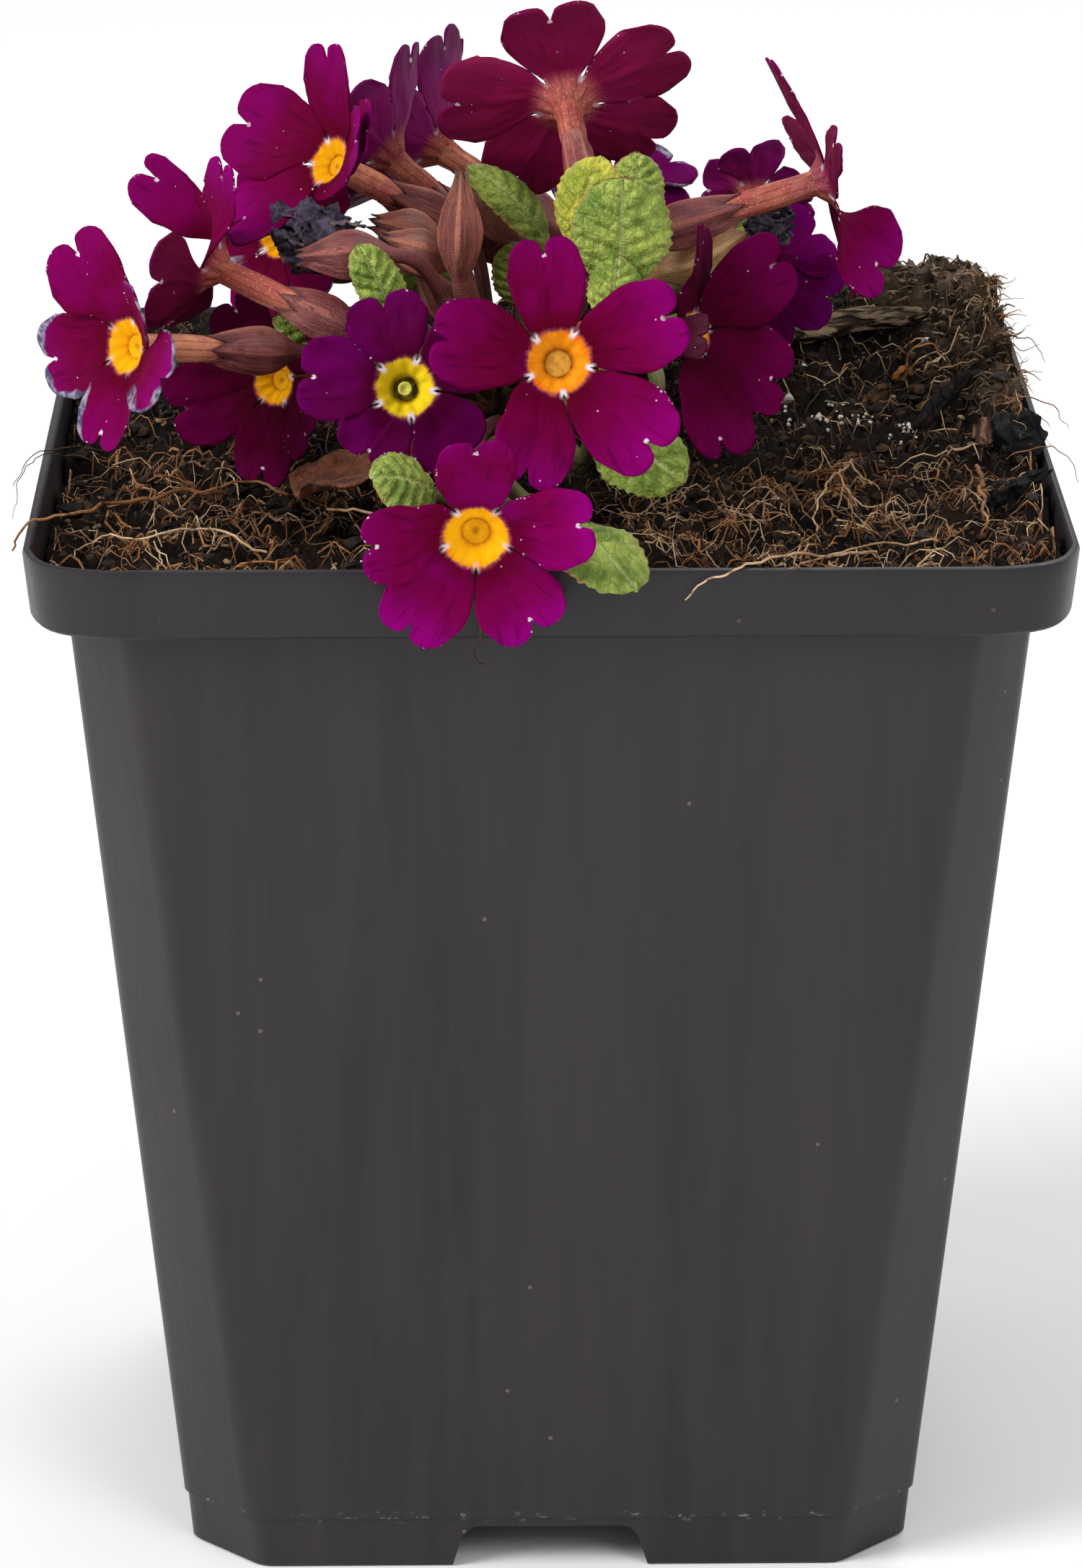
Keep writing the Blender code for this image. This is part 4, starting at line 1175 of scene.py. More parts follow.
def petalLook(name, hue, dry=0.0, eye="orange", back=False):
    look, tree = newLook(name, roughness=0.7, Specular_IOR_Level=0.2 if back else 0.02)
    near, middle, outer, behind = petalColors[hue]
    spot = placeCoords(tree)
    lateral, radius, gap = readMap(tree, "petalMap")[1]
    beside, toCleft, number = readMap(tree, "notchMap")[1]
    soft = noiseOf(tree, spot, 160, 3)
    fanned = times(tree, mathNode(tree, "DIVIDE", lateral, plus(tree, radius, 1.0)), 15.0)
    streakMap = joined(tree, fanned, times(tree, radius, 0.22), times(tree, number, 3.7))
    streaks = noiseOf(tree, streakMap, 1.0, detail=4, rough=0.6)
    wobble = shifted(tree, radius, streaks, 1.6)
    if back:
        tone = mixColor(tree, spread(tree, wobble, 2.2, 4.6), (0.40, 0.085, 0.075), behind)
        tone = mixColor(tree, spread(tree, radius, 7.0, 13.0, 0.0, 0.8), tone, middle)
        mottle = plus(
            tree, times(tree, noiseOf(tree, spot, 230, 4, 0.65), 0.6),
            times(tree, noiseOf(tree, spot, 95, 2), 0.4)
        )
        tube = mixColor(tree, spread(tree, mottle, 0.4, 0.62), (0.42, 0.090, 0.068), (0.76, 0.31, 0.165))
        seams = mathNode(tree, "COSINE", times(tree, number, math.tau * 10))
        tube = mixColor(tree, times(tree, spread(tree, seams, 0.55, 1.0), 0.55), tube, (0.17, 0.028, 0.024))
        tone = mixColor(tree, spread(tree, radius, 2.4, 1.2), tone, tube)
        grains = useGroup(tree, grainGroup, Vector=spot, Scale=2300.0, Amount=0.8)
        onTube = spread(tree, radius, 4.6, 1.8)
        tone = mixColor(
            tree, times(tree, times(tree, grains.outputs["Mask"], 0.6), onTube), tone, (0.80, 0.46, 0.30)
        )
    else:
        tone = mixColor(tree, spread(tree, wobble, 3.6, 7.5), near, middle)
        tone = mixColor(tree, spread(tree, wobble, 7.5, 13.5), tone, outer)
        # the top petals are painted darker: painted shade
        topmost = mathNode(tree, "ABSOLUTE", mathNode(tree, "SUBTRACT", number, 3.5))
        tone = mixColor(tree, spread(tree, topmost, 1.0, 2.5, 0.0, 0.4), tone, near)
    tone = mixColor(tree, spread(tree, streaks, 0.5, 0.7, 0.0, 0.5), tone, darker(near, 0.5))
    tone = mixColor(tree, spread(tree, soft, 0.5, 0.7, 0.0, 0.3), tone, outer)
    if not back:
        rimTone, midTone, deepTone = eyeColors[eye]
        blotch = noiseOf(tree, spot, 650, 3)
        loose = shifted(tree, radius, blotch, 1.1)
        loose = shifted(tree, loose, streaks, 0.35)
        eyeTone = mixColor(tree, spread(tree, wobble, 2.3, 3.5), midTone, rimTone)
        # towards the throat the eye takes the throat tone, partly its own colour and partly painted shade
        eyeTone = mixColor(tree, spread(tree, radius, 2.1, 1.35), eyeTone, deepTone)
        # the dark centre is painted shade of the opening down the throat
        eyeTone = mixColor(tree, spread(tree, radius, 0.65, 0.2, 0.0, 0.7), eyeTone, (0.30, 0.12, 0.004))
        eyeTone = mixColor(tree, spread(tree, blotch, 0.45, 0.62, 0.0, 0.6), eyeTone, midTone)
        tone = mixColor(tree, spread(tree, loose, 3.75, 3.3, 0.0, 0.3), tone, (0.62, 0.16, 0.16))
        tone = mixColor(tree, spread(tree, loose, 3.5, 3.05), tone, eyeTone)
    # white points where neighbouring petals part, and the fleck in the notch
    atEye = times(tree, spread(tree, radius, 2.6, 3.1), spread(tree, radius, 3.95, 3.3))
    between = times(tree, spread(tree, gap, 0.42, 0.10), atEye)
    away = addNode(tree, "ShaderNodeVectorMath", operation="LENGTH")
    tree.links.new(joined(tree, beside, toCleft), away.inputs[0])
    ragged = shifted(tree, away.outputs["Value"], noiseOf(tree, spot, 1900, 3), 0.7)
    fleck = times(
        tree, spread(tree, ragged, 0.30, 0.14), patches(tree, spot, 130, 1, 0.44, 0.54, 0.0, 0.85)
    )
    if eye == "golden":
        between = times(tree, between, patches(tree, spot, 420, 3, 0.40, 0.62, 0.15, 0.8))
    white = mathNode(tree, "MAXIMUM", between, fleck)
    dots = useGroup(tree, speckGroup, Vector=spot, Scale=1500.0, Size=0.15, Share=0.022)
    edgeDots = useGroup(tree, speckGroup, Vector=spot, Scale=2600.0, Size=0.34, Share=0.35)
    rimOnly = times(tree, spread(tree, gap, 0.32, 0.06), patches(tree, spot, 240, 2, 0.52, 0.66))
    speck = mathNode(
        tree, "MAXIMUM", times(tree, dots.outputs[0], 0.55), times(tree, edgeDots.outputs[0], rimOnly)
    )
    white = mathNode(tree, "MAXIMUM", white, times(tree, speck, spread(tree, radius, 3.4, 4.2)))
    tone = mixColor(tree, white, tone, (0.78, 0.68, 0.74))
    if dry:
        eaten = times(tree, patches(tree, spot, 95, 3, 0.44, 0.62), 2.2 * dry)
        dryEdge = spread(tree, mathNode(tree, "SUBTRACT", gap, eaten), 0.05, -0.3)
        outward = times(tree, spread(tree, radius, 5.0, 7.0), mathNode(tree, "GREATER_THAN", number, 0.5))
        dryTone = mixColor(
            tree, patches(tree, spot, 900, 4, 0.4, 0.6), (0.075, 0.060, 0.135), (0.30, 0.265, 0.33)
        )
        tone = mixColor(tree, times(tree, dryEdge, outward), tone, dryTone)
    height = plus(tree, streaks, times(tree, noiseOf(tree, spot, 3800, 2), 0.3))
    if back:
        height = plus(tree, height, times(tree, grains.outputs["Height"], onTube))
    return finishLook(look, tone, height, 0.35, 0.0003, spread(tree, soft, 0.3, 0.7, 0.6, 0.75))


def throatLook(name, dark, pale):
    look, tree = newLook(name, roughness=0.7)
    spot = placeCoords(tree)
    rough = noiseOf(tree, spot, 1300, 3)
    tone = mixColor(tree, spread(tree, rough, 0.35, 0.65), dark, pale)
    return finishLook(look, tone, rough, 0.3, 0.0002)


throat = throatLook("throat", (0.46, 0.20, 0.010), (0.66, 0.33, 0.020))
goldenThroat = throatLook("goldenThroat", (0.64, 0.29, 0.008), (0.78, 0.40, 0.012))
deepThroat = throatLook("deepThroat", (0.060, 0.040, 0.005), (0.36, 0.28, 0.020))
stigma = throatLook("stigma", (0.48, 0.45, 0.04), (0.66, 0.62, 0.12))
for name, flower in flowers.items():
    hue, dry, eye = flower["hue"], flower.get("dry", 0.0), flower.get("eyeHue", "golden")
    key = f"{hue}{'Dry' if dry else ''}{eye.title()}"
    front = bpy.data.materials.get("petal" + key) or petalLook("petal" + key, hue, dry, eye)
    back = bpy.data.materials.get("petalBack" + key) or petalLook(
        "petalBack" + key, hue, dry, eye, back=True
    )
    plug = deepThroat if flower.get("pin") else throat if eye == "orange" else goldenThroat
    buildCorolla(name, flower, [front, back, plug, throat, stigma, stigma])
print("corollas done")

# stalks and calyxes

crown = {"leave": 0.35, "arrive": 0.22, "leafArrive": 0.45}
crownMiddle = fromFrame((crownLow + crownHigh) / 2)
crownMiddle.z = fromFrame(crownLow).z


def rootOf(node):
    # where the CAD piece starts: the middle of its six corners that lie nearest the crown
    corners = {tuple(round(part, 6) for part in vert.co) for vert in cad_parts[node].data.vertices}
    nearest = sorted(corners, key=lambda corner: (fromFrame(corner) - crownMiddle).length)[:6]
    return sum((fromFrame(corner) for corner in nearest), Vector()) / len(nearest)


def stalkPath(node, foot, arrive, steps, keep):
    start = rootOf(node)
    outward = (start - crownMiddle).normalized()
    span = (foot - start).length
    start = start - outward * 1.2
    return bezier(start, start + outward * span * crown["leave"], foot - arrive * span * keep, foot, steps)


def calyxLook(name, base, rib, tip, pale):
    look, tree = newLook(name, roughness=0.55, Specular_IOR_Level=0.35)
    spot = placeCoords(tree)
    around, parts = readMap(tree, "wrapMap")
    ribs = mathNode(tree, "COSINE", times(tree, parts[0], math.tau * 5))
    keel = spread(tree, ribs, 0.72, 0.98)
    mottle = noiseOf(tree, spot, 420, 5, 0.6)
    lines = noiseOf(tree, stretched(tree, around, (60, 3, 1)), 1.0, 4)
    tone = mixColor(tree, spread(tree, mottle, 0.35, 0.65), base, darker(base, 0.6))
    tone = mixColor(tree, spread(tree, lines, 0.45, 0.7, 0.0, 0.35), tone, pale)
    tone = mixColor(tree, times(tree, keel, spread(tree, parts[1], 0.5, 0.62)), tone, rib)
    tone = mixColor(tree, spread(tree, parts[1], 0.90, 1.0), tone, tip)
    tone = mixColor(tree, patches(tree, spot, 130, 3, 0.5, 0.68, 0.0, 0.32), tone, pale)
    bands = noiseOf(tree, stretched(tree, around, (9, 2, 1)), 1.0, 3)
    tone = mixColor(tree, spread(tree, bands, 0.52, 0.7, 0.0, 0.45), tone, darker(base, 0.45))
    grains = useGroup(tree, grainGroup, Vector=spot, Scale=2900.0, Amount=0.4)
    tone = mixColor(tree, grains.outputs["Mask"], tone, pale)
    height = plus(
        tree, times(tree, grains.outputs["Height"], 0.7), plus(tree, times(tree, lines, 0.5), mottle)
    )
    return finishLook(look, tone, height, 0.6, 0.0003)


calyx = {
    "length": 10.5, "radius": 2.5, "teeth": 2.5, "spentTeeth": 1.2, "neck": 1.62, "stalk": 0.82, "gap": 0.4,
    "collar": 2.6, "stalkRows": 15, "rows": 25
}


def buildStalk(name, node, path, mouth, direction, length, radius, mouthRadius, teeth, look, slotName):
    # stalk rows first, then the calyx, whose last rows are drawn out into five teeth
    foot = mouth - direction * length
    calyxRows = calyx["rows"]
    points = list(path)[:-1] + [foot + direction * length * row / calyxRows for row in range(calyxRows + 1)]
    stalkRows = len(path) - 1
    total = len(points) - 1
    seed = len(name) + ord(name[-1])

    def radiusAt(share, angle):
        row = round(share * total)
        ripple = 1 + 0.035 * noise.noise(Vector((math.cos(angle), math.sin(angle), row * 0.35 + seed)))
        if row < stalkRows:
            return calyx["stalk"] * ripple * mix(1.25, 1.0, smooth(row / 5)), 0
        t = (row - stalkRows) / calyxRows
        swell = math.sin(math.radians(90) * min(1, t / 0.45))
        belly = mix(calyx["stalk"], radius, swell**1.2)
        if t >= 0.45:
            belly = mix(radius, mouthRadius, smooth((t - 0.45) / 0.55))
        keel = abs(((angle / math.tau * 5 + 0.5) % 1) - 0.5) * 2  # 0 on a rib, 1 between two
        atMouth = smooth((t - 0.8) / 0.2)
        ribbed = 1 + 0.13 * (1 - keel) ** 1.6 * smooth(t / 0.15) * (1 - 0.6 * atMouth)
        ribbed -= 0.05 * keel * smooth(t / 0.2)
        tooth = (1 - keel) ** 0.85
        push = -teeth * (1 - tooth) * smooth((t - 0.62) / 0.38)
        belly *= 1 - 0.10 * tooth * atMouth
        crease = 1 + 0.03 * noise.noise(Vector((angle * 2, t * 3, seed)))
        return belly * ribbed * ripple * crease, push

    bm = bmesh.new()
    layer = bm.verts.layers.float_vector.new("wrapMap")
    addTube(bm, points, radiusAt, around=40, side=(0.2, 0.3, 1), layers=(layer,))
    bmesh.ops.recalc_face_normals(bm, faces=bm.faces[:])
    return makePiece(name, bm, [look], [node] if node else [], thickness=0.18)


redTube = calyxLook(
    "redTube", (0.26, 0.050, 0.050), (0.40, 0.11, 0.09), (0.30, 0.06, 0.06), (0.60, 0.32, 0.25)
)
freshCalyx = calyxLook(
    "freshCalyx", (0.195, 0.040, 0.046), (0.31, 0.085, 0.068), (0.11, 0.026, 0.026), (0.40, 0.17, 0.12)
)
spentCalyx = calyxLook(
    "spentCalyx", (0.30, 0.075, 0.062), (0.50, 0.17, 0.11), (0.10, 0.034, 0.024), (0.54, 0.27, 0.18)
)
tanCalyx = calyxLook(
    "tanCalyx", (0.58, 0.29, 0.115), (0.78, 0.47, 0.21), (0.36, 0.15, 0.06), (0.84, 0.60, 0.34)
)

for name, flower in flowers.items():
    face = Vector(flower["face"]).normalized()
    mouth = Vector(flower["eye"]) - face * (flower["tube"] + calyx["gap"] - calyx["collar"])
    length = flower.get("calyx", calyx["length"]) + calyx["collar"]
    foot = mouth - face * length
    path = stalkPath("flower_stalk_" + name, foot, face, calyx["stalkRows"], crown["arrive"])
    radius, neck, teeth = (flower.get(key, calyx[key]) for key in ("radius", "neck", "teeth"))
    look = redTube if "radius" in flower else freshCalyx
    buildStalk(
        "stalk" + name.upper(), "flower_stalk_" + name, path, mouth, face, length, radius, neck, teeth,
        look, "calyx"
    )

# mouth, the way it points, length, belly radius and how far the mouth has closed
# root: whose stalk it starts beside

spentOnes = {
    "a": {
        "mouth": (-9.1, -6, 149.9), "points": (0.02, 0.05, 1), "length": 12.5, "radius": 2.35,
        "mouthRadius": 0.75
    },
    "b": {
        "mouth": (-7.8, 12.5, 145.0), "points": (-0.55, 0.25, 0.75), "length": 10.0, "radius": 2.7,
        "mouthRadius": 1.0
    },
    "c": {
        "mouth": (-19.3, 1.5, 142.4), "points": (-0.90, -0.15, 0.32), "length": 8.8, "radius": 2.5,
        "mouthRadius": 0.95
    },
    "d": {
        "mouth": (-18.2, -3.5, 141.6), "points": (-0.88, -0.20, 0.38), "length": 8.6, "radius": 2.5,
        "mouthRadius": 1.0
    },
    "e": {
        "mouth": (-27.0, -12, 141.6), "points": (-0.98, 0.10, -0.05), "length": 10.8, "radius": 2.6,
        "mouthRadius": 1.0, "look": freshCalyx
    },
    "f": {
        "mouth": (22.3, 8, 139.8), "points": (0.90, 0.12, 0.42), "length": 11.5, "radius": 3.1,
        "mouthRadius": 1.7, "look": tanCalyx
    },
    "g": {
        "root": "c", "mouth": (-13.9, 3, 136.8), "points": (-0.55, 0.05, 0.83), "length": 8.0,
        "radius": 2.0, "mouthRadius": 0.8
    },
}
for name, spent in spentOnes.items():
    points = Vector(spent["points"]).normalized()
    mouth = Vector(spent["mouth"])
    foot = mouth - points * spent["length"]
    node = "spent_stalk_" + spent.get("root", name)
    path = stalkPath(node, foot, points, calyx["stalkRows"], crown["arrive"])
    sizes = spent["length"], spent["radius"], spent["mouthRadius"], calyx["spentTeeth"]
    node = None if "root" in spent else node
    buildStalk(
        "spent" + name.upper(), node, path, mouth, points, *sizes, spent.get("look", spentCalyx),
        "spent_calyx"
    )
print("stalks done")


# withered corollas: crumpled dark petals

def witheredLook():
    look, tree = newLook("witheredLook", roughness=0.7, Specular_IOR_Level=0.4)
    spot = placeCoords(tree)
    folds = noiseOf(tree, spot, 600, 6, 0.6, 1.0)
    tone = mixColor(tree, spread(tree, folds, 0.35, 0.6), (0.009, 0.007, 0.014), (0.085, 0.060, 0.110))
    tone = mixColor(tree, patches(tree, spot, 300, 4, 0.52, 0.66), tone, (0.22, 0.165, 0.15))
    return finishLook(look, tone, folds, 0.9, 0.0006)


witheredOnes = {
    "a": {"at": (-24.2, -3.4, 141.2), "size": (5.6, 2.6, 4.6)},
    "b": {"at": (25.5, 9.2, 140.6), "size": (3.5, 2.9, 2.8)},
}
withered = witheredLook()
for name, crumple in witheredOnes.items():
    rng = random.Random(ord(name))
    bm = bmesh.new()
    size = Vector(crumple["size"])
    for number in range(5):  # petals dried into folded sheets
        lean = Matrix.Rotation(rng.uniform(0, math.tau), 3, "X")
        lean = lean @ Matrix.Rotation(rng.uniform(-0.9, 0.9), 3, "Y")
        shift = Vector([rng.uniform(-0.35, 0.35) * side for side in size])

        def place(across, along):
            u, v = across * 2 - 1, along * 2 - 1
            flat = Vector((u, v, number * 3.1 + ord(name)))
            fold = 0.75 * abs(noise.noise(flat * 1.1)) + 0.5 * abs(noise.noise(flat * 2.4)) - 0.35
            edge = 1 - 0.25 * abs(noise.noise(flat * 2.0))
            spot = Vector((u * 0.8 * edge, v * 0.7 * edge, 1.3 * fold + 0.35 * math.cos(v * 2.6)))
            spot = lean @ spot
            return (Vector([spot[i] * size[i] * 0.85 + shift[i] for i in range(3)]),)

        addGrid(bm, 34, 34, place)
    bmesh.ops.translate(bm, vec=crumple["at"], verts=bm.verts[:])
    makePiece(
        "withered" + name.upper(), bm, [withered], ["withered_corolla_" + name], 0.16
    )
print("withered corollas done")

# leaves

# heel (where the blade begins), tip, the way its upper side looks, half width and bow
# root: whose stalk it starts beside

leaves = {
    "a": {
        "heel": (7.4, -26.5, 141.2), "tip": (7.8, -26.5, 153.0), "face": (0.1, -0.95, 0.3), "half": 5.9,
        "bow": 1.0
    },
    "b": {
        "heel": (3.0, -23.5, 145.0), "tip": (5.4, -22.5, 154.4), "face": (-0.45, -0.85, 0.2), "half": 4.2,
        "bow": 1.2, "yellow": True
    },
    "c": {
        "heel": (9.8, -9, 144.2), "tip": (9.8, -7, 151.4), "face": (0.1, -0.9, 0.4), "half": 3.3, "bow": 0.8
    },
    "d": {
        "heel": (0.6, 4, 138.4), "tip": (-7.9, 6, 147.0), "face": (0.35, -0.65, 0.55), "half": 3.0,
        "bow": 2.0
    },
    "e": {
        "heel": (6.5, -30, 138.5), "tip": (7.2, -28, 145.0), "face": (0.0, -0.9, 0.4), "half": 3.2,
        "bow": 0.8
    },
    "f": {
        "heel": (-15.6, -16.5, 135.0), "tip": (-20, -16, 143.5), "face": (0.1, -0.9, 0.35), "half": 2.9,
        "bow": 0.8
    },
    "g": {
        "heel": (-20.6, -11, 130.0), "tip": (-28.8, -12, 134.8), "face": (0.15, -0.8, 0.6), "half": 3.2,
        "bow": 1.0
    },
    "h": {
        "heel": (-11.7, -43, 123.9), "tip": (-18.2, -46, 126.7), "face": (0, -0.6, 0.8), "half": 4.4,
        "bow": 1.0
    },
    "i": {
        "heel": (0.5, -49, 122.2), "tip": (8.0, -57.4, 118.3), "face": (0.2, -0.55, 0.8), "half": 5.0,
        "bow": 1.6
    },
    "j": {
        "heel": (4.4, -32, 128.3), "tip": (13.4, -36, 123.6), "face": (0, -0.75, 0.65), "half": 5.0,
        "bow": 1.0
    },
    "k": {
        "heel": (22.6, 40, 122.5), "tip": (33.2, 41, 123.5), "face": (0, -0.5, 0.86), "half": 2.8,
        "bow": 0.6
    },
    "l": {
        "heel": (15.2, 13, 132.6), "tip": (23.6, 13, 138.6), "face": (0, -0.75, 0.65), "half": 3.2,
        "bow": 0.8
    },
    "m": {
        "root": "f", "heel": (-10.4, 7, 131.0), "tip": (-14.8, 7, 137.4), "face": (0.1, -0.85, 0.5),
        "half": 3.2, "bow": 0.8
    },
    "n": {
        "root": "d", "heel": (-2.4, 7, 131.0), "tip": (-3.4, 7, 138.2), "face": (0.1, -0.85, 0.5),
        "half": 3.2, "bow": 0.8
    },
}
leafBends = {"a": ((-0.3, 0.3, 0.5), 0.7), "j": ((0, -0.6, 0.7), 0.4)}
leafShape = {
    "veins": 6, "vein": 0.22, "pucker": 0.5, "teeth": 11, "tooth": 0.035, "roll": 0.8, "rows": 56,
    "columns": 36, "thickness": 0.3, "stalk": 0.85
}


def leafHalf(along):
    rounded = math.sqrt(max(0.0, 1 - max(0.0, (along - 0.50) / 0.50) ** 2.6))
    return smooth(along / 0.46) ** 0.5 * rounded * 0.93 + 0.07 * (1 - along)


def buildLeaf(name, leaf, looks):
    heel, tip = Vector(leaf["heel"]), Vector(leaf["tip"])
    face = Vector(leaf["face"]).normalized()
    ahead = (tip - heel).normalized()
    face = (face - face.project(ahead)).normalized()
    side = face.cross(ahead)
    length = (tip - heel).length * 1.06
    bm = bmesh.new()
    leafLayer = bm.verts.layers.float_vector.new("leafMap")
    wrapLayer = bm.verts.layers.float_vector.new("wrapMap")
    seed = ord(name) * 2.3

    def place(across, along):
        v = across * 2 - 1
        edge = abs(v)
        saw = abs((along * leafShape["teeth"] + seed) % 1 - 0.5) * 2
        toothed = 1 + leafShape["tooth"] * (saw - 0.5) * smooth((edge - 0.7) / 0.3) * 2
        half = leaf["half"] * leafHalf(along) * toothed
        lateral = half * v
        # side veins leave the midrib at a slant; the leaf puckers up between them
        phase = along * leafShape["veins"] * 1.15 - edge * 1.5 * (0.6 + 0.4 * along)
        phase += (0.35 if v > 0 else 0) + seed
        wave = abs((phase % 1) - 0.5) * 2  # 1 on a vein
        bulge = (1 - wave**2.2) * smooth(edge / 0.12) * (1 - 0.75 * smooth((edge - 0.75) / 0.25))
        cells = noise.noise(Vector((lateral * 1.15, along * length * 1.15, seed))) * 0.5
        cells += noise.noise(Vector((lateral * 2.6, along * length * 2.6, seed))) * 0.3
        rise = leafShape["pucker"] * bulge + 0.35 * cells * smooth(edge / 0.15)
        rise -= leafShape["vein"] * math.exp(-((edge / 0.07) ** 2))
        rise *= smooth(along / 0.15) * min(1, half / 2.0)
        wavy = 0.5 * noise.noise(Vector((along * 2.6, v * 1.1, seed + 9))) * edge**2 * half * 0.35
        bow = leaf["bow"] * math.sin(math.pi * along)
        curl = -leafShape["roll"] * edge**2 * half * 0.22
        spot = heel + ahead * (length * along) + side * (lateral * (1 - 0.06 * edge))
        spot += face * (bow + rise + wavy + curl)
        return spot, Vector((lateral, along * length, (1 - edge) * half)), Vector((wave, along, edge))

    addGrid(bm, leafShape["columns"], leafShape["rows"], place, layers=(leafLayer, wrapLayer))
    bmesh.ops.recalc_face_normals(bm, faces=bm.faces[:])
    up = sum((f.normal * f.calc_area() for f in bm.faces), Vector())
    if up.dot(face) < 0:
        bmesh.ops.reverse_faces(bm, faces=bm.faces[:])
    arrive, keep = leafBends.get(name, (ahead, crown["leafArrive"]))
    node = "leaf_" + leaf.get("root", name)
    path = stalkPath(node, heel - face * 0.1, Vector(arrive).normalized(), 22, keep)
    for share in (0.12, 0.25, 0.4, 0.55, 0.7, 0.85, 0.96):  # the midrib runs on under the blade
        path.append(
            heel + ahead * length * share + face * (
                leaf["bow"] * math.sin(math.pi * share) - 0.95 + 0.6 * share
            )
        )
    total = len(path) - 1

    def radiusAt(share, angle):
        row = share * total
        size = leafShape["stalk"] if row < 22 else mix(leafShape["stalk"] * 0.85, 0.12, (row - 22) / 7)
        return size * (1 + 0.08 * math.cos(angle * 3)), 0

    addTube(bm, path, radiusAt, around=14, side=face, slotIndex=2, layers=(wrapLayer,))
    nodes = [] if "root" in leaf else [node]
    return makePiece("leaf" + name.upper(), bm, looks, nodes, leafShape["thickness"], 1)


def leafLook(name, dark, light, vein, edgeTone):
    look, tree = newLook(name, roughness=0.5, Specular_IOR_Level=0.4, Sheen_Weight=0.1)
    spot = placeCoords(tree)
    flat, (lateral, _, toEdge) = readMap(tree, "leafMap")
    wave, _, edge = readMap(tree, "wrapMap")[1]
    net, fineNet = (cellEdges(tree, stretched(tree, flat, (1, 1, 0)), scale) for scale in (0.8, 2.3))
    mottle = noiseOf(tree, spot, 260, 5, 0.6)
    tone = mixColor(tree, spread(tree, mottle, 0.36, 0.64), dark, light)
    # the net of veins is painted darker: painted shade in the sunken vein grooves
    groove = darker(dark, 0.62)
    tone = mixColor(tree, spread(tree, net, 0.12, 0.0, 0.0, 0.45), tone, groove)
    tone = mixColor(tree, spread(tree, fineNet, 0.08, 0.0, 0.0, 0.25), tone, groove)
    sideVein = times(tree, spread(tree, wave, 0.86, 1.0), spread(tree, edge, 0.98, 0.6))
    tone = mixColor(tree, times(tree, sideVein, 0.45), tone, vein)
    midrib = spread(tree, mathNode(tree, "ABSOLUTE", lateral), 0.34, 0.10)
    tone = mixColor(tree, times(tree, midrib, 0.7), tone, vein)
    margin = times(tree, spread(tree, toEdge, 0.45, 0.05), patches(tree, spot, 320, 3, 0.42, 0.62))
    tone = mixColor(tree, margin, tone, edgeTone)
    height = plus(tree, spread(tree, net, 0.0, 0.3), times(tree, spread(tree, fineNet, 0.0, 0.25), 0.4))
    height = plus(tree, height, times(tree, noiseOf(tree, spot, 2600, 3), 0.3))
    return finishLook(look, tone, height, 0.5, 0.0004, spread(tree, mottle, 0.3, 0.7, 0.42, 0.6))


greenLeaf = leafLook(
    "greenLeaf", (0.13, 0.215, 0.013), (0.40, 0.485, 0.080), (0.50, 0.58, 0.19), (0.34, 0.22, 0.05)
)
greenUnder = leafLook(
    "greenUnder", (0.23, 0.31, 0.055), (0.34, 0.43, 0.090), (0.54, 0.60, 0.25), (0.32, 0.21, 0.06)
)
yellowLeaf = leafLook(
    "yellowLeaf", (0.30, 0.35, 0.020), (0.60, 0.55, 0.045), (0.66, 0.62, 0.15), (0.44, 0.26, 0.05)
)
yellowUnder = leafLook(
    "yellowUnder", (0.36, 0.36, 0.05), (0.50, 0.48, 0.09), (0.58, 0.54, 0.20), (0.38, 0.22, 0.05)
)
leafStalkLook = calyxLook(
    "leafStalk", (0.20, 0.20, 0.06), (0.26, 0.20, 0.08), (0.30, 0.34, 0.12), (0.38, 0.36, 0.19)
)
for name, leaf in leaves.items():
    blade = [yellowLeaf, yellowUnder] if leaf.get("yellow") else [greenLeaf, greenUnder]
    buildLeaf(name, leaf, blade + [leafStalkLook, leafStalkLook])
print("leaves done")

# root crown, dead leaf and litter


def woodLook(name, dark, pale, grain=(700, 90, 700)):
    look, tree = newLook(name, roughness=0.92, Specular_IOR_Level=0.12)
    spot = placeCoords(tree)
    lines = noiseOf(tree, stretched(tree, spot, grain), 1.0, 6, 0.65, 0.6)
    blotch = noiseOf(tree, spot, 240, 4)
    tone = mixColor(tree, spread(tree, lines, 0.42, 0.58), dark, pale)
    tone = mixColor(tree, spread(tree, blotch, 0.46, 0.66, 0.0, 0.8), tone, dark)
    cracks = cellEdges(tree, stretched(tree, spot, darker(grain, 0.5)), 1.0)
    tone = mixColor(tree, spread(tree, cracks, 0.10, 0.02, 0.0, 0.85), tone, darker(dark, 0.4))
    height = plus(tree, plus(tree, lines, blotch), spread(tree, cracks, 0.0, 0.12))
    return finishLook(look, tone, height, 1.0, 0.0007)


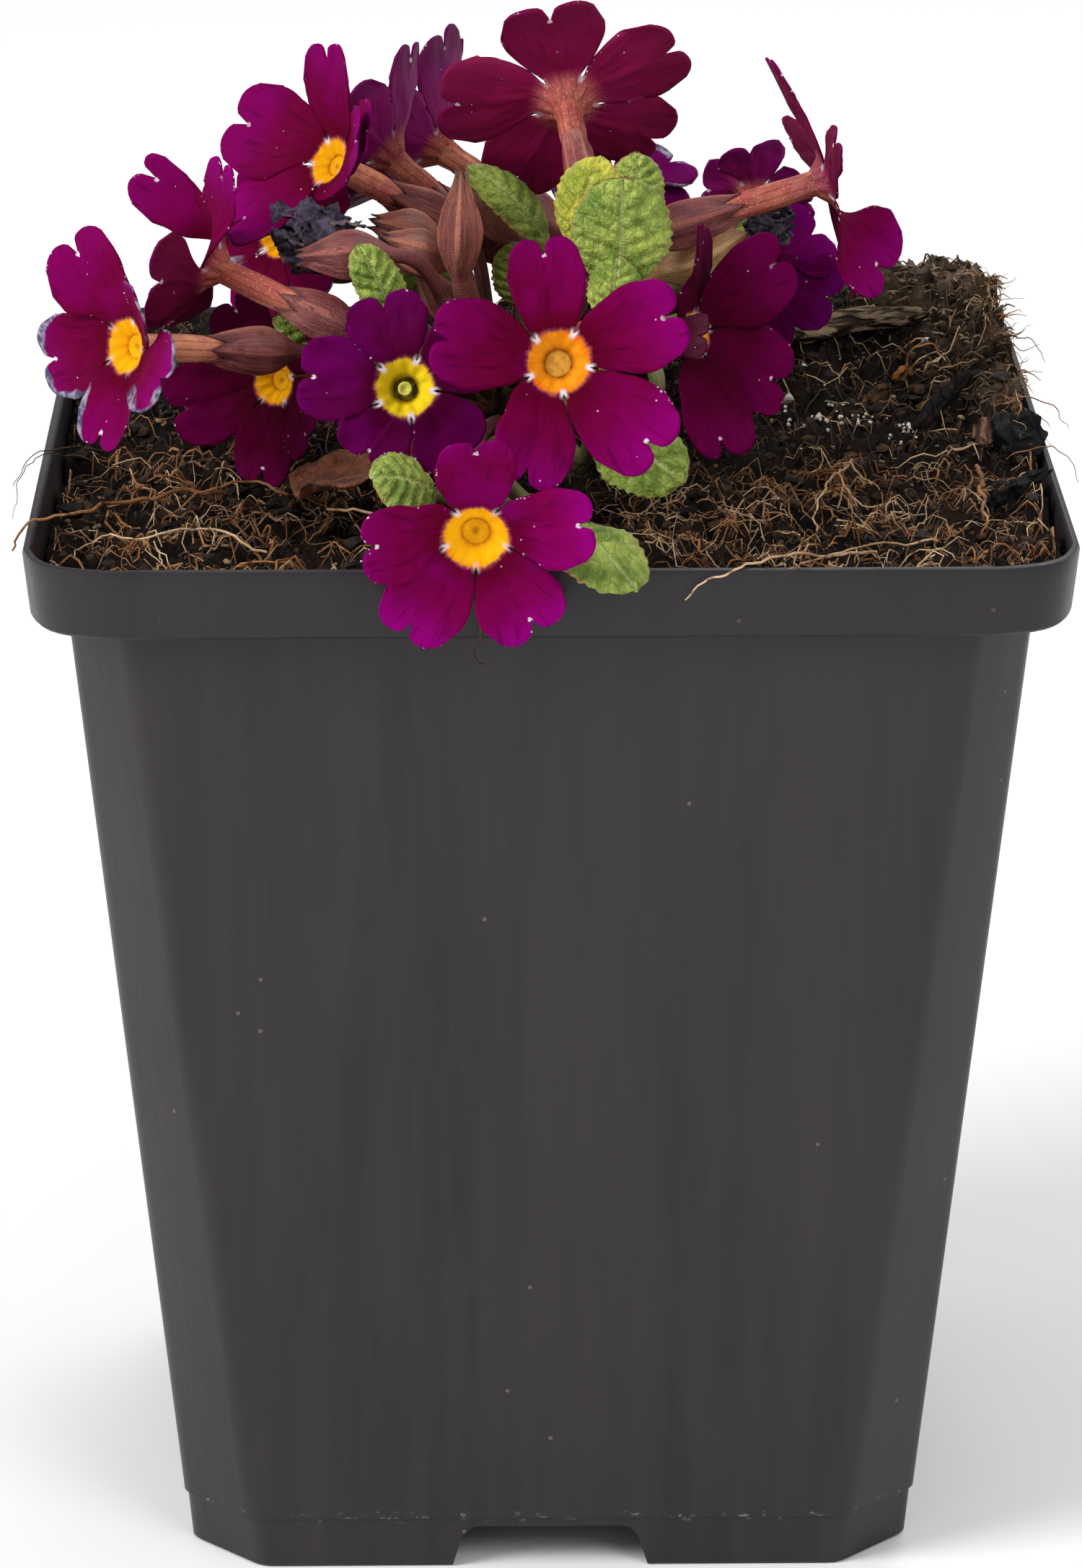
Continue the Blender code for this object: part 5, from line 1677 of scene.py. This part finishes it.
def buildChunk(
    name, look, slotName, start, end, half, thick, seed, rough, nodes=(), sides=24, rows=40, facets=False
):
    # a rough bar: a tube pressed flat, with torn ends
    start, end = Vector(start), Vector(end)
    points = [start.lerp(end, row / rows) for row in range(rows + 1)]

    def radiusAt(share, angle):
        ends = min(1, (math.sin(math.pi * min(max(share, 0.0), 1.0)) + 0.03) ** 0.35)
        squash = math.hypot(half * math.cos(angle), thick * math.sin(angle))
        torn = 1.0
        for amount, around, along in ((1, 1.3, 4), (0.5, 4, 2), (0.3, 7, 14)):
            torn += amount * rough * noise.noise(
                Vector((math.cos(angle) * around, math.sin(angle) * around, share * along + seed))
            )
        push = rough * 3 * noise.noise(Vector((math.cos(angle) * 2, math.sin(angle) * 2, seed)))
        push *= smooth(abs(share - 0.5) * 2.4 - 0.2) * (1 if share > 0.5 else -1)
        return squash * ends * torn, push

    bm = bmesh.new()
    addTube(bm, points, radiusAt, around=sides, side=(0, 0, 1))
    bmesh.ops.holes_fill(bm, edges=[edge for edge in bm.edges if edge.is_boundary], sides=0)
    bmesh.ops.recalc_face_normals(bm, faces=bm.faces[:])
    for face in bm.faces:
        face.smooth = not facets
    return makePiece(name, bm, [look], nodes)


chunks = {
    "woodChip": dict(
        nodes=["wood_chip"], slotName="weathered_wood", start=(24.5, 33.5, 120.8), end=(44.5, 37.5, 122.8),
        half=2.2, thick=1.0, seed=2.0, rough=0.5
    ),
    "darkTwig": dict(
        nodes=["dark_twig"], slotName="twig", start=(41.0, 0, 119.0), end=(47.4, 11, 122.4), half=1.0,
        thick=1.0, seed=5.0, rough=0.5
    ),
    "barkPiece": dict(
        nodes=["bark_piece"], slotName="bark", start=(51.6, -14.5, 119.6), end=(52.0, -2.5, 121.0),
        half=2.8, thick=1.6, seed=9.0, rough=0.7, sides=13, rows=14, facets=True
    ),
    "charPiece": dict(
        slotName="bark", start=(46.6, -31, 119.3), end=(53.6, -22.4, 120.6), half=0.85, thick=0.8,
        seed=14.0, rough=0.9, sides=12, rows=18, facets=True
    ),
    "tanChip": dict(
        slotName="peat", start=(40.0, 19.5, 119.6), end=(41.8, 21.0, 120.2), half=0.9, thick=0.6, seed=20.0,
        rough=0.7
    ),
    "brownChip": dict(
        slotName="peat", start=(36.2, 9.0, 119.6), end=(38.6, 14.0, 120.2), half=0.9, thick=0.6, seed=24.0,
        rough=0.6
    ),
    "paleChip": dict(
        slotName="peat", start=(48.2, -9.0, 119.6), end=(49.0, -2.5, 120.8), half=1.6, thick=0.7, seed=28.0,
        rough=0.6
    ),
}
chunkLooks = {
    "woodChip": woodLook("weatheredWood", (0.040, 0.026, 0.015), (0.32, 0.23, 0.145), (110, 900, 900)),
    "darkTwig": woodLook("twigWood", (0.005, 0.004, 0.004), (0.030, 0.017, 0.014)),
    "barkPiece": woodLook("barkWood", (0.003, 0.003, 0.0035), (0.018, 0.017, 0.018)),
    "tanChip": woodLook("tanChipWood", (0.16, 0.055, 0.016), (0.42, 0.18, 0.055)),
    "brownChip": woodLook("brownChipWood", (0.06, 0.026, 0.010), (0.20, 0.095, 0.035)),
    "paleChip": woodLook("paleChipWood", (0.07, 0.035, 0.022), (0.24, 0.13, 0.085)),
}
chunkLooks["charPiece"] = chunkLooks["barkPiece"]
for name, chunk in chunks.items():
    buildChunk(name, look=chunkLooks[name], **chunk)

bm = bmesh.new()  # the crown that stalks and leaves grow from
bmesh.ops.create_icosphere(bm, subdivisions=5, radius=8.6)
for vert in bm.verts:
    vert.co *= 1 + 0.10 * noise.noise(vert.co * 0.45) + 0.05 * noise.noise(vert.co * 1.6)
    vert.co.z = max(vert.co.z, -0.8)
bmesh.ops.translate(bm, vec=crownMiddle, verts=bm.verts[:])
for face in bm.faces:
    face.smooth = True
crownLook = woodLook("crownLook", (0.04, 0.022, 0.012), (0.17, 0.10, 0.045), (300, 300, 300))
makePiece("crownBase", bm, [crownLook], ["root_crown"])

deadLeaf = {"start": (-13.0, -25.5, 123.0), "end": (-27.0, -29.0, 120.0), "half": 5.8}
bm = bmesh.new()
flatLayer = bm.verts.layers.float_vector.new("leafMap")
wrapLayer = bm.verts.layers.float_vector.new("wrapMap")


def deadPlace(across, along):
    v = across * 2 - 1
    start, end = Vector(deadLeaf["start"]), Vector(deadLeaf["end"])
    ahead = (end - start).normalized()
    side = Vector((0, 0, 1)).cross(ahead).normalized()
    half = deadLeaf["half"] * (0.25 + 0.75 * math.sin(math.pi * min(along, 0.93)) ** 0.7)
    half *= 1 + 0.18 * noise.noise(Vector((along * 5, v, 4)))
    rise = 1.5 * v * v + 0.9 * noise.noise(Vector((along * 3.2, v * 1.6, 7)))
    rise += 0.35 * noise.noise(Vector((along * 9, v * 5, 2)))
    spot = start.lerp(end, along) + side * half * v + Vector((0, 0, rise))
    return spot, Vector((half * v, along * 14, (1 - abs(v)) * half)), Vector((0, along, abs(v)))


addGrid(bm, 36, 44, deadPlace, layers=(flatLayer, wrapLayer))
bmesh.ops.recalc_face_normals(bm, faces=bm.faces[:])
deadLook = leafLook(
    "deadLeafLook", (0.12, 0.026, 0.009), (0.32, 0.085, 0.025), (0.34, 0.13, 0.05), (0.05, 0.014, 0.006)
)
makePiece("deadLeaf", bm, [deadLook], ["dead_leaf"], 0.25)
print("litter done")

# floor, lights and camera

floorMesh = bmesh.new()
bmesh.ops.create_grid(floorMesh, x_segments=1, y_segments=1, size=6)
mesh = bpy.data.meshes.new("floor")
floorMesh.to_mesh(mesh)
floorMesh.free()
floorLook = newLook("paleFloor", roughness=0.9, Base_Color=(0.95, 0.95, 0.95, 1))[0]
mesh.materials.append(floorLook)
floor = newObject("floor", mesh)
floor.location = (0, 0, potLow.z)

lights = {
    "softKey": {"at": (-1.15, -0.55, 0.85), "size": 0.8, "power": 19.0},
    "softFill": {"at": (0.65, -1.05, 0.95), "size": 0.8, "power": 6.5},
    "backGlow": {"at": (0.3, 0.9, 1.1), "size": 0.9, "power": 6.0},
}
aim = potFoot + Vector((0, 0, 0.09))
for name, light in lights.items():
    lamp = bpy.data.lights.new(name, "AREA")
    lamp.shape = "DISK"
    lamp.size = light["size"]
    lamp.energy = light["power"]
    holder = newObject(name, lamp)
    holder.location = aim + Vector(light["at"])
    holder.rotation_euler = (aim - holder.location).to_track_quat("-Z", "Y").to_euler()

world = bpy.data.worlds.new("studio")
world.use_nodes = True
world.node_tree.nodes["Background"].inputs[0].default_value = (1, 1, 1, 1)
world.node_tree.nodes["Background"].inputs[1].default_value = 0.5
bpy.context.scene.world = world

view = {"at": (-10.48, -689.86, 309.01), "pitch": 18.527, "pan": 0.834, "lens": 148.42}
camera = newObject("camera", bpy.data.cameras.new("camera"))
camera.location = potFoot + Vector(view["at"]) * mm
camera.rotation_euler = (math.radians(90 - view["pitch"]), 0, math.radians(-view["pan"]))
camera.data.lens = view["lens"]
camera.data.sensor_width = 36
bpy.context.scene.camera = camera
bpy.context.scene.view_settings.view_transform = "Standard"
